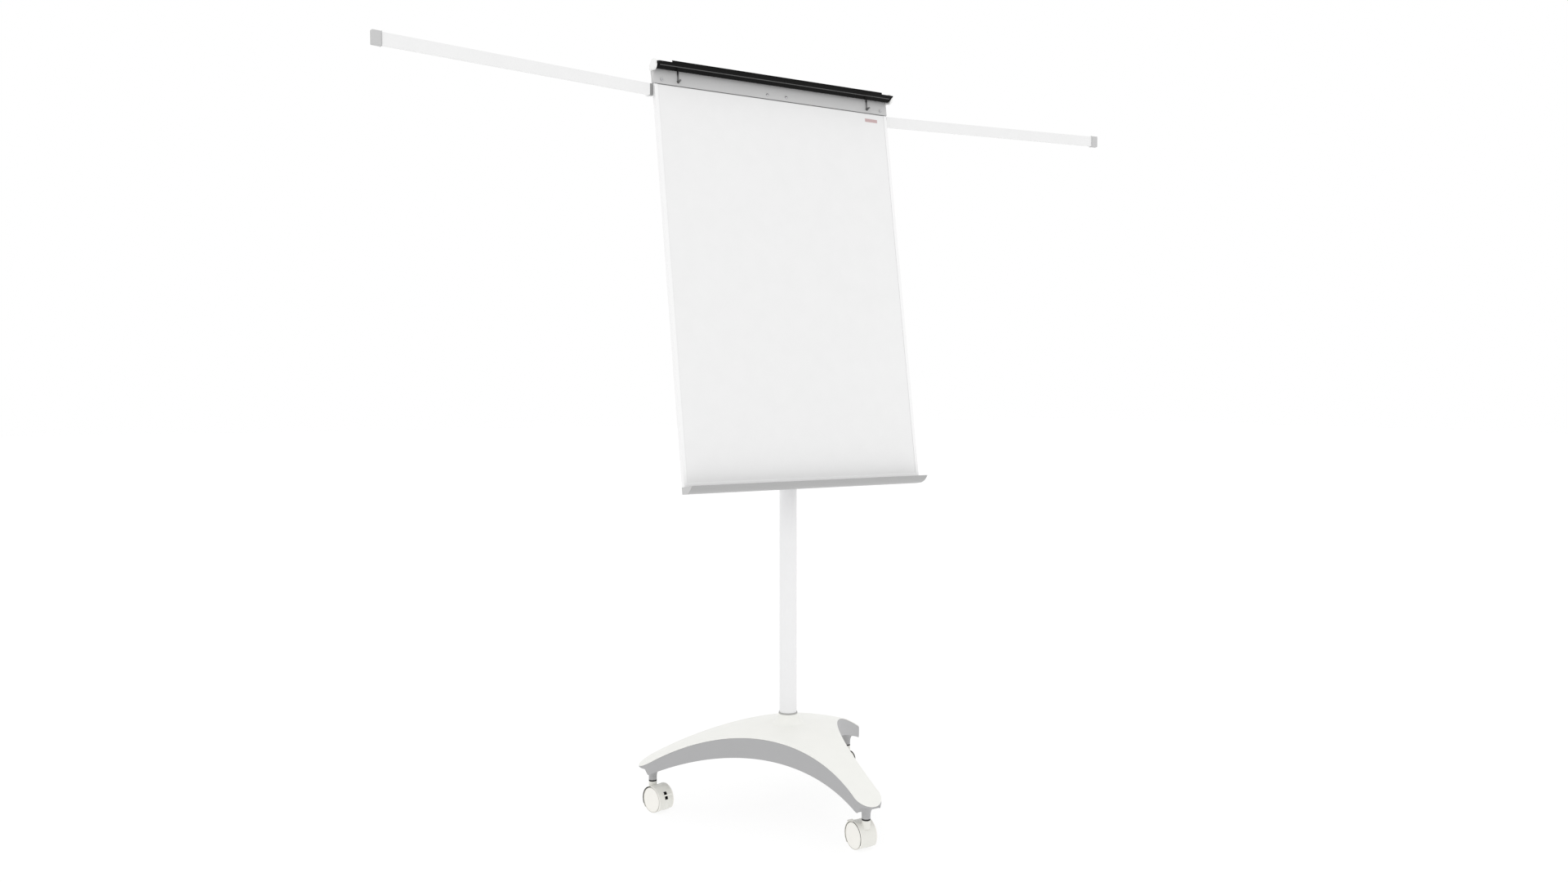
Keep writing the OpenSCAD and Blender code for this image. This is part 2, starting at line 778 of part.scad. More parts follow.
module cross_rail() {
  half = board_w / 2 - lip_w;
  translate([half, 0, 0]) rotate([0, -90, 0]) channel(2 * half);
}

module frame_left() color("#f4f4f4") at_board() side_rail();

module frame_right() color("#f4f4f4") at_board() mirror([1, 0, 0]) side_rail();

module frame_bottom() color("#f4f4f4") at_board() cross_rail();

module frame_top() color("#f4f4f4") at_board() translate([0, 0, board_h]) mirror([0, 0, 1]) cross_rail();

module stiffeners() color("#c4c4c4") at_board() {
  hollow = rail_w / 2 - rail_wall;
  for (side = SIDES) translate([side * rail_x, stack_t, 0]) difference() {
    box([-rail_w / 2, 0, rail_foot], [rail_w / 2, rail_d, rail_head]);
    box([-hollow, -1, rail_foot - 1], [hollow, rail_d - rail_wall, rail_head + 1]);
  }
}

// ---- top strip and its fixings ----

module top_strip() color("#d2d2d2") at_board() {
  box([-strip_half_w, strip_front, strip_z], [strip_half_w, frame_front, board_h + strip_t]);
  box([-strip_half_w, frame_front, board_h], [strip_half_w, frame_back, board_h + strip_t]);
  box([-strip_half_w, frame_back, board_h - strip_tail],
    [strip_half_w, frame_back + strip_t, board_h + strip_t]);
  for (side = SIDES) mirror_if(side > 0)
    box([-strip_half_w, frame_front, strip_z], [-board_w / 2, frame_back, board_h]);
}

module strip_screws() color("#9c9c9c") at_board() for (side = SIDES) {
  translate([side * end_screw_x, strip_front, fix_z]) difference() {
    front_rod(stud_r, 0, 1.6);
    rotate([0, side * 35, 0]) box([-stud_r - 1, -3, -0.5], [stud_r + 1, -0.9, 0.5]);
  }
}

module strip_studs() color("#cfcfcf") at_board() for (side = SIDES) {
  translate([side * stud_x, strip_front, fix_z]) rotate([90, 0, 0]) rotate_extrude() intersection() {
    translate([0, -0.8]) circle(r = 1.05 * stud_r);
    square([2 * stud_r, 2 * stud_r]);
  }
}

module clamp_rod() color("#8f8f8f") at_board() translate([0, -clamp_n, clamp_z])
  cross_rod(rod_r, -clamp_rod_end, clamp_rod_end);

module clamp_ends() color("#f6f6f4") at_board() for (side = SIDES) mirror_if(side < 0)
  difference() {
    union() {
      translate([0, -clamp_n, clamp_z]) cross_rod(clamp_end_r, clamp_face_x, clamp_face_x + clamp_end_t);
      box([clamp_face_x, -clamp_n, clamp_z - 10], [clamp_face_x + clamp_end_t, 6, clamp_z + 6]);
    }
    translate([0, -clamp_n, clamp_z]) cross_rod(rod_r, 0, clamp_rod_end);
  }

// The section is drawn with X forwards from the clamp's axis and Y up.
module clamp_section() {
  c = cos(wedge);
  s = sin(wedge);
  inner = 0.97;
  difference() {
    union() {
      circle(r = barrel_r);
      translate([lip_reach, 0]) circle(r = lip_r);
      polygon([
        [barrel_r * s * inner, barrel_r * c * inner],
        [lip_reach + lip_r * s * inner, lip_r * c * inner],
        [lip_reach + lip_r * s * inner, -lip_r * c * inner],
        [barrel_r * s * inner, -barrel_r * c * inner]
      ]);
    }
    circle(r = rod_r + run_gap);
    translate([0.62 * lip_reach, -0.5 * barrel_r]) circle(r = 1);
  }
}

module clamp_bar() color("#232323") at_board()
  translate([0, -clamp_n, clamp_z]) rotate([0, 0, -90]) rotate([90, 0, 0]) {
    translate([0, 0, -clamp_half_w]) linear_extrude(2 * clamp_half_w) clamp_section();
    translate([0, 0, rib_inset - clamp_half_w]) linear_extrude(2 * (clamp_half_w - rib_inset))
      translate([lip_reach - rib_t - rib_edge, 0]) square([rib_t, lip_r + rib_h]);
  }

module pad_hook(side) color("#6a6a6a") at_board() translate([side * hook_x, 0, 0]) {
  box([-hook_w / 2, hook_front, fix_z], [hook_w / 2, hook_back, saddle_z + saddle_t]);
  box([-saddle_w / 2, hook_front, saddle_z], [saddle_w / 2, saddle_back + saddle_t, saddle_z + saddle_t]);
  box([-saddle_w / 2, saddle_back, saddle_z - saddle_tail],
    [saddle_w / 2, saddle_back + saddle_t, saddle_z + saddle_t]);
  translate([0, hook_back, fix_z]) front_rod(eye_r, 0, hook_t);
  translate([0, hook_front, fix_z]) front_rod(peg_neck_r, -hook_t / 2, peg_len);
  translate([0, hook_front, fix_z]) front_rod(peg_r, peg_neck_len, peg_len);
}

// ---- pen tray ----

module tray_round(radius) {
  intersection() {
    translate([tray_round_y, tray_round_r - tray_h]) circle(r = radius, $fn = fine);
    translate([-tray_n - 1, -tray_h - 1]) square([tray_n + 1 + tray_round_y, tray_h + 1]);
  }
}

// The section is drawn with X as the board's depth and Y up the board.
module tray_section() {
  difference() {
    tray_round(tray_round_r);
    tray_round(tray_round_r - tray_t);
  }
  translate([tray_round_y, -tray_h]) square([frame_back - tray_round_y, tray_t]);
  translate([frame_front, -tray_h]) square([tray_t, tray_h]);
  translate([frame_front, -tray_t]) square([frame_back - frame_front, tray_t]);
}

module along_board(half) {
  rotate([0, 0, 90]) rotate([90, 0, 0]) translate([0, 0, -half]) linear_extrude(2 * half) children();
}

module pen_tray() color("#acacac") at_board() along_board(tray_cap_x) tray_section();

module tray_ends() color("#dcdcdc") at_board() for (side = SIDES)
  translate([side * (tray_cap_x + tray_cap_t / 2), 0, 0]) along_board(tray_cap_t / 2) {
    tray_round(tray_round_r);
    translate([tray_round_y, -tray_h]) square([frame_back - tray_round_y, tray_h]);
  }

// ---- swing arms ----

module arm_brackets() color("#919191") for (side = SIDES) at_arm_axis(side) difference() {
  union() {
    box([-arm_out, 3 - arm_axis_n(side), -arm_h / 2], [bracket_t - arm_out, 4, arm_h / 2]);
    for (z = [-arm_h / 2, lug_z]) {
      rod(lug_r, z, z + lug_t);
      box([-arm_out, -lug_r, z], [0, 4, z + lug_t]);
    }
  }
  rod(arm_pin_r, -arm_h, arm_h);
}

module arm_pins() color("#8f8f8f") for (side = SIDES) at_arm_axis(side) {
  rod(arm_pin_r, -arm_h / 2, arm_h / 2);
  rod(arm_pin_r + 1.4, arm_h / 2, arm_h / 2 + 1.2);
}

module arm_bar(side) color("#efefef") at_arm(side) translate([0, -arm_off(side), 0]) difference() {
  box([arm_start, -arm_t / 2, -arm_h / 2], [arm_tip(side) - cap_floor, arm_t / 2, arm_h / 2]);
  box([arm_start - 1, arm_wall - arm_t / 2, arm_wall - arm_h / 2],
    [arm_tip(side), arm_t / 2 - arm_wall, arm_h / 2 - arm_wall]);
}

module arm_knuckle(side) color("#919191") at_arm(side) difference() {
  union() {
    rod(lug_r - 0.5, -hub_h, hub_h);
    box([-knuckle_back, -arm_off(side), -hub_h], [arm_start, 0, hub_h]);
    translate([0, -arm_off(side), 0]) {
      box([-knuckle_back, -arm_t / 2, -arm_h / 2], [arm_start, arm_t / 2 - 1, arm_h / 2]);
      box([arm_start, arm_wall - arm_t / 2, arm_wall - arm_h / 2],
        [arm_start + plug_len, arm_t / 2 - arm_wall, arm_h / 2 - arm_wall]);
    }
  }
  rod(arm_pin_r + run_gap, -arm_h, arm_h);
}

module arm_cap(side) color("#c2c2c2") at_arm(side) translate([0, -arm_off(side), 0]) difference() {
  box([arm_tip(side) - arm_cap_len, -arm_t / 2 - cap_over, -arm_h / 2 - cap_over],
    [arm_tip(side), arm_t / 2 + cap_over, arm_h / 2 + cap_over]);
  box([arm_tip(side) - arm_cap_len - 1, -arm_t / 2, -arm_h / 2],
    [arm_tip(side) - cap_floor, arm_t / 2, arm_h / 2]);
}

base_frame();
base_cover();
base_screws();
post_ring();
lower_tube();
guide_bush();
post_bolt();
height_collar();
height_knob();
inner_tube();
glide_plug();
post_head();
writing_sheet();
board_core();
rear_sheet();
frame_left();
frame_right();
frame_top();
frame_bottom();
stiffeners();
tilt_bracket();
tilt_pin();
bracket_screws();
tilt_lever();
top_strip();
strip_screws();
strip_studs();
clamp_rod();
clamp_ends();
clamp_bar();
pad_hook(-1);  // hook_left
pad_hook(1);  // hook_right
pen_tray();
tray_ends();
arm_brackets();
arm_pins();
arm_bar(-1);  // arm_left
arm_bar(1);  // arm_right
arm_knuckle(-1);  // arm_knuckle_left
arm_knuckle(1);  // arm_knuckle_right
arm_cap(-1);  // arm_cap_left
arm_cap(1);  // arm_cap_right
for (leg = [0:len(LEG_NAMES) - 1]) {
  name = str("castor_", LEG_NAMES[leg], "_");
  castor_hood(leg);
  castor_stem(leg);
  castor_axle(leg);
  castor_wheel(leg, -1);
  castor_wheel(leg, 1);
  castor_pedal(leg);
}
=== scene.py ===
"""Looks of a mobile flipchart easel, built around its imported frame.

Each sub-assembly is a class that builds its finer pieces and gives them their finishes.
Lengths are in millimetres inside a sub-assembly's own frame, and in metres in the row frame.
"""
import json
import logging
import math
from dataclasses import dataclass, field
from enum import Enum
from typing import Sequence

import bmesh
import bpy
from mathutils import Matrix, Vector

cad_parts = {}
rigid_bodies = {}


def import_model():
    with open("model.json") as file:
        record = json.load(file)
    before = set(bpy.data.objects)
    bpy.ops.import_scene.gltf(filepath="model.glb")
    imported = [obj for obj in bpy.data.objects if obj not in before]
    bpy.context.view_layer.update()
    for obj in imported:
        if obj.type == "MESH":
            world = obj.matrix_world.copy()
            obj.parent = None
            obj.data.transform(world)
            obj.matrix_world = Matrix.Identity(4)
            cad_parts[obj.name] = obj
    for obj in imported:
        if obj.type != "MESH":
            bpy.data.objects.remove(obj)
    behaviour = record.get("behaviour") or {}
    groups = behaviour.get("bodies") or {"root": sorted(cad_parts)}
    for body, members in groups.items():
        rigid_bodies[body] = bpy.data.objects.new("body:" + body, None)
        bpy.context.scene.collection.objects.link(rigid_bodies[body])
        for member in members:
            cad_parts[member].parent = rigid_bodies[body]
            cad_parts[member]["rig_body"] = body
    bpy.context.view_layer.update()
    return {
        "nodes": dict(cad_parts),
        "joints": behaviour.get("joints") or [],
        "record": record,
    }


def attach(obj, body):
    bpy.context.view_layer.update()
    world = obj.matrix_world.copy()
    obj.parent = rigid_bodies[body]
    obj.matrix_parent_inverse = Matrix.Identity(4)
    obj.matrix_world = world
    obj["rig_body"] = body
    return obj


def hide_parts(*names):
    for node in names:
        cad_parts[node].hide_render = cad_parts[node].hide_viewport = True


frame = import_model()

log = logging.getLogger("easel")

MM = 0.001
EDGE = "edge"
# Points that are closer than this, in millimetres, are one.
MERGE = 0.001
# Faces that meet at less than this, in degrees, are one flat face.
FLAT = 0.05
# Edges sharper than this, in degrees, stay sharp in the shading.
CREASE = 50.0
# How far a piece that is laid on a surface is sunk into it, in millimetres.
SUNK = 0.2
Colour = tuple[float, float, float]
Point = tuple[float, float, float]


# ---- node graphs ----


class Signal:
    """An output socket, with arithmetic that adds Math nodes."""

    def __init__(self, graph: "Graph", socket: bpy.types.NodeSocket) -> None:
        """Wraps a socket.

        Args:
            graph: The graph that the socket belongs to.
            socket: The output socket.
        """
        self.graph = graph
        self.socket = socket

    def __add__(self, other: "Signal | float") -> "Signal":
        """The sum."""
        return self.graph.maths("ADD", self, other)

    def __sub__(self, other: "Signal | float") -> "Signal":
        """The difference."""
        return self.graph.maths("SUBTRACT", self, other)

    def __rsub__(self, other: float) -> "Signal":
        """The difference from a number."""
        return self.graph.maths("SUBTRACT", other, self)

    def __mul__(self, other: "Signal | float") -> "Signal":
        """The product."""
        return self.graph.maths("MULTIPLY", self, other)

    def __pow__(self, power: float) -> "Signal":
        """A power."""
        return self.graph.maths("POWER", self, power)

    __radd__ = __add__
    __rmul__ = __mul__

    def between(self, low: float, high: float) -> "Signal":
        """Zero below low, one above high, and a smooth step between them."""
        ramp = self.graph.node(
            "ShaderNodeMapRange",
            {"interpolation_type": "SMOOTHSTEP"},
            {"Value": self, "From Min": low, "From Max": high},
        )
        return Signal(self.graph, ramp.outputs["Result"])


class Graph:
    """The node graph of one material."""

    def __init__(self, name: str) -> None:
        """Makes an empty material.

        Args:
            name: The material's name.
        """
        self.material = bpy.data.materials.new(name)
        self.material.use_nodes = True
        self.tree = self.material.node_tree
        self.tree.nodes.clear()

    def node(
        self, kind: str, settings: dict | None = None, values: dict | None = None
    ) -> bpy.types.Node:
        """Adds a node.

        Args:
            kind: The node's type.
            settings: Its settings.
            values: Its sockets' values or the signals that feed them.

        Returns:
            The node.
        """
        node = self.tree.nodes.new(kind)
        for key, value in (settings or {}).items():
            setattr(node, key, value)
        for key, value in (values or {}).items():
            if isinstance(value, Signal):
                self.tree.links.new(value.socket, node.inputs[key])
            else:
                node.inputs[key].default_value = value
        return node

    def maths(self, operation: str, *operands: "Signal | float") -> Signal:
        """The result of a Math node."""
        node = self.node("ShaderNodeMath", {"operation": operation}, dict(enumerate(operands)))
        return Signal(self, node.outputs[0])

    def place(self, stretch: Point = (1, 1, 1), turn: Point = (0, 0, 0)) -> Signal:
        """Object coordinates in millimetres, turned and then stretched.

        Args:
            stretch: How much finer a pattern is along each axis.
            turn: The rotation in degrees that lines the axes up with the piece.

        Returns:
            The coordinates.
        """
        source = self.node("ShaderNodeTexCoord").outputs["Object"]
        mapping = self.node(
            "ShaderNodeMapping",
            {"vector_type": "POINT"},
            {
                "Vector": Signal(self, source),
                "Rotation": tuple(math.radians(a) for a in turn),
                "Scale": tuple(s / MM for s in stretch),
            },
        )
        return Signal(self, mapping.outputs["Vector"])

    def noise(self, where: Signal, size: float, detail: float = 2.0) -> Signal:
        """Smooth noise from 0 to 1.

        Args:
            where: The coordinates.
            size: The size of its spots, in millimetres.
            detail: How many finer layers it has.

        Returns:
            The noise.
        """
        node = self.node(
            "ShaderNodeTexNoise",
            {"noise_dimensions": "3D", "normalize": True},
            {"Vector": where, "Scale": 1 / size, "Detail": detail, "Roughness": 0.55},
        )
        return Signal(self, node.outputs["Fac"])

    def cells(self, where: Signal, size: float, feature: str = "F1") -> tuple[Signal, Signal]:
        """A cell pattern.

        Args:
            where: The coordinates.
            size: The size of a cell, in millimetres.
            feature: Which distance it measures.

        Returns:
            The distance, and the cell's own random colour.
        """
        node = self.node(
            "ShaderNodeTexVoronoi", {"feature": feature}, {"Vector": where, "Scale": 1 / size}
        )
        return Signal(self, node.outputs["Distance"]), Signal(self, node.outputs["Color"])

    def mix(self, factor: Signal, low: Colour | Signal, high: Colour | Signal) -> Signal:
        """A colour between two others."""
        low, high = (c if isinstance(c, Signal) else (*c, 1.0) for c in (low, high))
        node = self.node(
            "ShaderNodeMix", {"data_type": "RGBA", "clamp_factor": True}, {0: factor, 6: low, 7: high}
        )
        return Signal(self, node.outputs[2])

    def attribute(self, name: str) -> Signal:
        """A number that is stored on the piece's own mesh."""
        node = self.node("ShaderNodeAttribute", {"attribute_name": name})
        return Signal(self, node.outputs["Fac"])

    def bump(self, height: Signal, depth: float, below: Signal | None = None) -> Signal:
        """A normal.

        Args:
            height: The relief, from 0 to 1.
            depth: Its depth, in millimetres.
            below: A normal that the relief lies on.

        Returns:
            The normal.
        """
        values = {"Height": height, "Strength": 1.0, "Distance": depth * MM}
        if below is not None:
            values["Normal"] = below
        return Signal(self, self.node("ShaderNodeBump", {}, values).outputs["Normal"])


# ---- finishes ----


def tone(colour: Colour, share: float) -> Colour:
    """A colour made lighter or darker by a share."""
    return tuple(min(1.0, c * share) for c in colour)


@dataclass(frozen=True)
class Finish:
    """A plain moulded or coated surface, and what the other finishes vary.

    Attributes:
        name: The finish's name.
        slot: The record's material slot.
        colour: The surface's own colour.
        roughness: Its mean roughness.
        swing: How far the roughness varies.
        mottle: How far the colour varies.
        patch: The size of the variation, in millimetres.
        grain: The size of the surface's texture, in millimetres.
        depth: The depth of the texture, in millimetres.
        metallic: One for a metal.
        coat: The share of a clear coat.
        specular: How strongly it mirrors, with one half for common plastics.
        glow: How much light it gives off.
        wear: How much a worn edge differs from the colour.
    """

    name: str
    slot: str
    colour: Colour
    roughness: float = 0.4
    swing: float = 0.06
    mottle: float = 0.02
    patch: float = 45.0
    grain: float = 1.2
    depth: float = 0.01
    metallic: float = 0.0
    coat: float = 0.0
    specular: float = 0.5
    glow: float = 0.0
    wear: float = 0.92

    def tint(self, graph: Graph, where: Signal) -> Signal:
        """The colour over the surface."""
        spots = graph.noise(where, self.patch, 3.0)
        return graph.mix(spots, tone(self.colour, 1 - self.mottle), tone(self.colour, 1 + self.mottle))

    def gloss(self, graph: Graph, where: Signal) -> Signal:
        """The roughness over the surface."""
        return self.roughness + (graph.noise(where, self.patch / 3, 4.0) - 0.5) * (2 * self.swing)

    def relief(self, graph: Graph, where: Signal) -> Signal:
        """The height of the texture, from 0 to 1."""
        return graph.noise(where, self.grain, 2.0)

    def where(self, graph: Graph) -> Signal:
        """The coordinates that the patterns are laid on."""
        return graph.place()

    def material(self) -> bpy.types.Material:
        """The finish as a material, made once.

        Returns:
            The material.
        """
        made = bpy.data.materials.get(self.name)
        if made is not None:
            return made
        graph = Graph(self.name)
        where = self.where(graph)
        rubbed = graph.attribute(EDGE) * graph.noise(where, 6.0, 3.0).between(0.45, 0.7)
        colour = graph.mix(rubbed, self.tint(graph, where), tone(self.colour, self.wear))
        shader = graph.node(
            "ShaderNodeBsdfPrincipled",
            {},
            {
                "Base Color": colour,
                "Roughness": self.gloss(graph, where) + rubbed * 0.08,
                "Metallic": self.metallic,
                "Coat Weight": self.coat,
                "Coat Roughness": 0.08,
                "Specular IOR Level": self.specular,
                "Emission Color": (1.0, 1.0, 1.0, 1.0),
                "Emission Strength": self.glow,
                "Normal": graph.bump(self.relief(graph, where), self.depth),
            },
        )
        out = graph.node("ShaderNodeOutputMaterial")
        graph.tree.links.new(shader.outputs["BSDF"], out.inputs["Surface"])
        return graph.material


@dataclass(frozen=True)
class PowderCoat(Finish):
    """Baked powder paint with its fine orange peel."""

    def relief(self, graph: Graph, where: Signal) -> Signal:
        """Rounded bumps with finer noise on them."""
        bumps, _ = graph.cells(where, self.grain, "SMOOTH_F1")
        return bumps * 0.7 + graph.noise(where, self.grain / 2, 2.0) * 0.3


@dataclass(frozen=True)
class Enamel(Finish):
    """Glossy enamelled steel, slightly wavy, with faint traces of wiping."""

    def gloss(self, graph: Graph, where: Signal) -> Signal:
        """Smoother and rougher strokes where a cloth has passed."""
        swept = graph.place((0.25, 1.0, 1.0), (0, 35, 0))
        return self.roughness + graph.noise(swept, 30.0, 5.0).between(0.5, 0.75) * self.swing

    def relief(self, graph: Graph, where: Signal) -> Signal:
        """A long low wave under a fine skin."""
        return graph.noise(where, 60.0, 1.0) * 0.9 + graph.noise(where, self.grain, 2.0) * 0.1


@dataclass(frozen=True)
class Drawn(Finish):
    """Metal with fine lines along its length.

    Attributes:
        lines: How much finer the pattern is along each axis.
        turn: The rotation in degrees that lines the axes up with the piece.
    """

    lines: Point = (0.02, 1.0, 1.0)
    turn: Point = (0.0, 0.0, 0.0)

    def gloss(self, graph: Graph, where: Signal) -> Signal:
        """Roughness in streaks."""
        streaks = graph.noise(graph.place(self.lines, self.turn), self.grain, 3.0)
        return self.roughness + (streaks - 0.5) * (2 * self.swing)

    def relief(self, graph: Graph, where: Signal) -> Signal:
        """Fine lines."""
        return graph.noise(graph.place(self.lines, self.turn), self.grain, 3.0)


@dataclass(frozen=True)
class Zinc(Finish):
    """Zinc plating with its faint crystal patches."""

    def tint(self, graph: Graph, where: Signal) -> Signal:
        """A slightly different grey in each patch."""
        _, crystals = graph.cells(where, self.patch)
        shade = graph.node("ShaderNodeRGBToBW", {}, {"Color": crystals})
        return graph.mix(
            Signal(graph, shade.outputs["Val"]),
            tone(self.colour, 1 - self.mottle),
            tone(self.colour, 1 + self.mottle),
        )


@dataclass(frozen=True)
class Fibreboard(Finish):
    """The pressed fibres of the core."""

    def tint(self, graph: Graph, where: Signal) -> Signal:
        """Short light and dark fibres."""
        fibres = graph.noise(graph.place((0.3, 3.0, 1.0)), self.grain, 4.0).between(0.3, 0.7)
        return graph.mix(fibres, tone(self.colour, 1 - self.mottle), tone(self.colour, 1 + self.mottle))


class Look(Enum):
    """The finishes that the easel is made in."""

    COVER = PowderCoat("cover_white", "base_white", (0.86, 0.86, 0.825), 0.4, depth=0.006)
    FRAME = PowderCoat("base_grey_coat", "base_grey", (0.4, 0.4, 0.405), 0.5, depth=0.006)
    POST = PowderCoat("post_white_coat", "post_white", (0.83, 0.83, 0.835), 0.36, depth=0.005)
    RING = Finish("post_ring_grey", "ring_grey", (0.4, 0.4, 0.39), 0.4)
    ZINC = Zinc("zinc_plate", "zinc_steel", (0.55, 0.55, 0.57), 0.3, patch=3.0, mottle=0.08, metallic=1.0)
    DARK = PowderCoat(
        "dark_coat", "dark_steel", (0.04, 0.04, 0.042), 0.42, depth=0.01, specular=0.3, wear=2.2
    )
    BLACK = Finish(
        "black_moulded", "black_plastic", (0.018, 0.018, 0.019), 0.5, depth=0.02, specular=0.3, wear=1.8
    )
    WHITE = Finish("white_moulded", "white_plastic", (0.86, 0.86, 0.85), 0.32, depth=0.004)
    DISC = Finish("castor_disc_white", "castor_white", (0.87, 0.855, 0.81), 0.34, depth=0.005)
    HOOD = Finish("castor_hood_white", "castor_hood", (0.78, 0.775, 0.73), 0.38, depth=0.006)
    TYRE = Finish("castor_tread_grey", "castor_hood", (0.6, 0.59, 0.54), 0.6, depth=0.02)
    ENAMEL = Enamel("white_enamel", "enamel", (0.82, 0.82, 0.82), 0.16, swing=0.07, depth=0.012)
    CORE = Fibreboard("fibre_core", "core", (0.5, 0.39, 0.25), 0.85, mottle=0.25, grain=2.0)
    REAR = PowderCoat("rear_white_coat", "rear_white", (0.66, 0.66, 0.665), 0.45, depth=0.008)
    EDGING = PowderCoat("frame_white_coat", "frame_white", (0.88, 0.88, 0.88), 0.33, depth=0.004)
    STRIP = PowderCoat("strip_grey_coat", "strip", (0.56, 0.56, 0.56), 0.4, depth=0.004)
    CHROME = Drawn("chrome_plate", "chrome", (0.5, 0.5, 0.51), 0.1, swing=0.04, metallic=1.0, grain=0.4)
    HOOK = Drawn("hook_dark_zinc", "chrome", (0.2, 0.2, 0.2), 0.3, swing=0.06, metallic=1.0, grain=0.5)
    CLAMP = Finish(
        "clamp_gloss_black", "clamp_black", (0.005, 0.005, 0.005), 0.2, depth=0.004, specular=0.06, wear=2.0
    )
    # Mid-grey on the black clamp: a ridge whose colour is a painted highlight along the clamp's underside.
    RIDGE_HIGHLIGHT = Finish("clamp_ridge_painted_highlight", "clamp_black", (0.09, 0.09, 0.09), 0.45, specular=0.3)
    TRAY = Drawn("tray_anodised", "tray_grey", (0.4, 0.4, 0.4), 0.4, depth=0.003, grain=0.5)
    ARM = PowderCoat("arm_white_coat", "arm_white", (0.825, 0.825, 0.825), 0.36, depth=0.004)
    KNUCKLE = Finish("knuckle_grey", "arm_grey", (0.25, 0.25, 0.25), 0.45)
    CAP = Finish("cap_grey", "cap_grey", (0.5, 0.5, 0.5), 0.42)
    # Dark grey for the line under the top strip: a painted shadow for the gap there.
    SHADOW_SEAM = Finish("seam_painted_shadow", "arm_grey", (0.16, 0.16, 0.16), 0.6, specular=0.3)
    BADGE = Finish("badge_muted", "cap_grey", (0.55, 0.4, 0.4), 0.5)


# ---- shapes ----


class Place:
    """A frame of reference in millimetres."""

    def __init__(self, matrix: Matrix) -> None:
        """Keeps the frame both ways.

        Args:
            matrix: The frame's place in the row frame, in metres, without a scale.
        """
        self.out = matrix @ Matrix.Scale(MM, 4)
        self.back = self.out.inverted()

    def extent(self, node: str) -> tuple[Vector, Vector]:
        """The lowest and highest corner of a CAD node in this frame."""
        points = [self.back @ v.co for v in frame["nodes"][node].data.vertices]
        low = Vector(min(p[i] for p in points) for i in range(3))
        high = Vector(max(p[i] for p in points) for i in range(3))
        return low, high


ROW = Place(Matrix.Identity(4))


def joint(name: str) -> dict:
    """A joint of the record."""
    return next(j for j in frame["joints"] if j["name"] == name)


def axle_place(castor: str) -> Place:
    """The frame of a castor's wheels: X to where they trail, Y up and Z along the axle.

    Args:
        castor: The castor's body.

    Returns:
        The frame, with its origin at the middle of the axle.
    """
    roll = joint(f"{castor}_wheel_a_roll")
    along = Vector(roll["axis"]).normalized()
    up = Vector((0.0, 0.0, 1.0))
    turn = Matrix((up.cross(along), up, along)).transposed()
    return Place(Matrix.Translation(roll["pos_m"]) @ turn.to_4x4())


def leg_place(leg: str) -> Place:
    """The frame of a leg's end: X out along the leg, Y across it and Z up.

    Args:
        leg: The leg's name.

    Returns:
        The frame, with its origin at the mouth of the castor's socket.
    """
    stem = Vector(joint(f"castor_{leg}_swivel")["pos_m"])
    post = Vector(joint("board_tilt")["pos_m"])
    out = Vector((stem.x - post.x, stem.y - post.y, 0.0)).normalized()
    up = Vector((0.0, 0.0, 1.0))
    turn = Matrix((out, up.cross(out), up)).transposed()
    return Place(Matrix.Translation(stem) @ turn.to_4x4())


def board_place() -> Place:
    """The frame of the leaning board: Y from the writing face to the back, Z up the board.

    Returns:
        The frame, with its origin at the middle of the writing face.
    """
    mount = next(m for m in frame["record"]["mounts"] if m["name"] == "writing_face")
    back = -Vector(mount["axis"]).normalized()
    along = Vector((1.0, 0.0, 0.0))
    turn = Matrix((along, back, along.cross(back))).transposed()
    return Place(Matrix.Translation(mount["pos_m"]) @ turn.to_4x4())


def arc(centre: tuple[float, float], radius: float, start: float, end: float, steps: int) -> list:
    """Points along an arc.

    Args:
        centre: The arc's centre.
        radius: Its radius.
        start: The angle of its first point, in degrees.
        end: The angle of its last point, in degrees.
        steps: The number of its chords.

    Returns:
        The points.
    """
    turns = (math.radians(start + (end - start) * i / steps) for i in range(steps + 1))
    return [(centre[0] + radius * math.cos(t), centre[1] + radius * math.sin(t)) for t in turns]


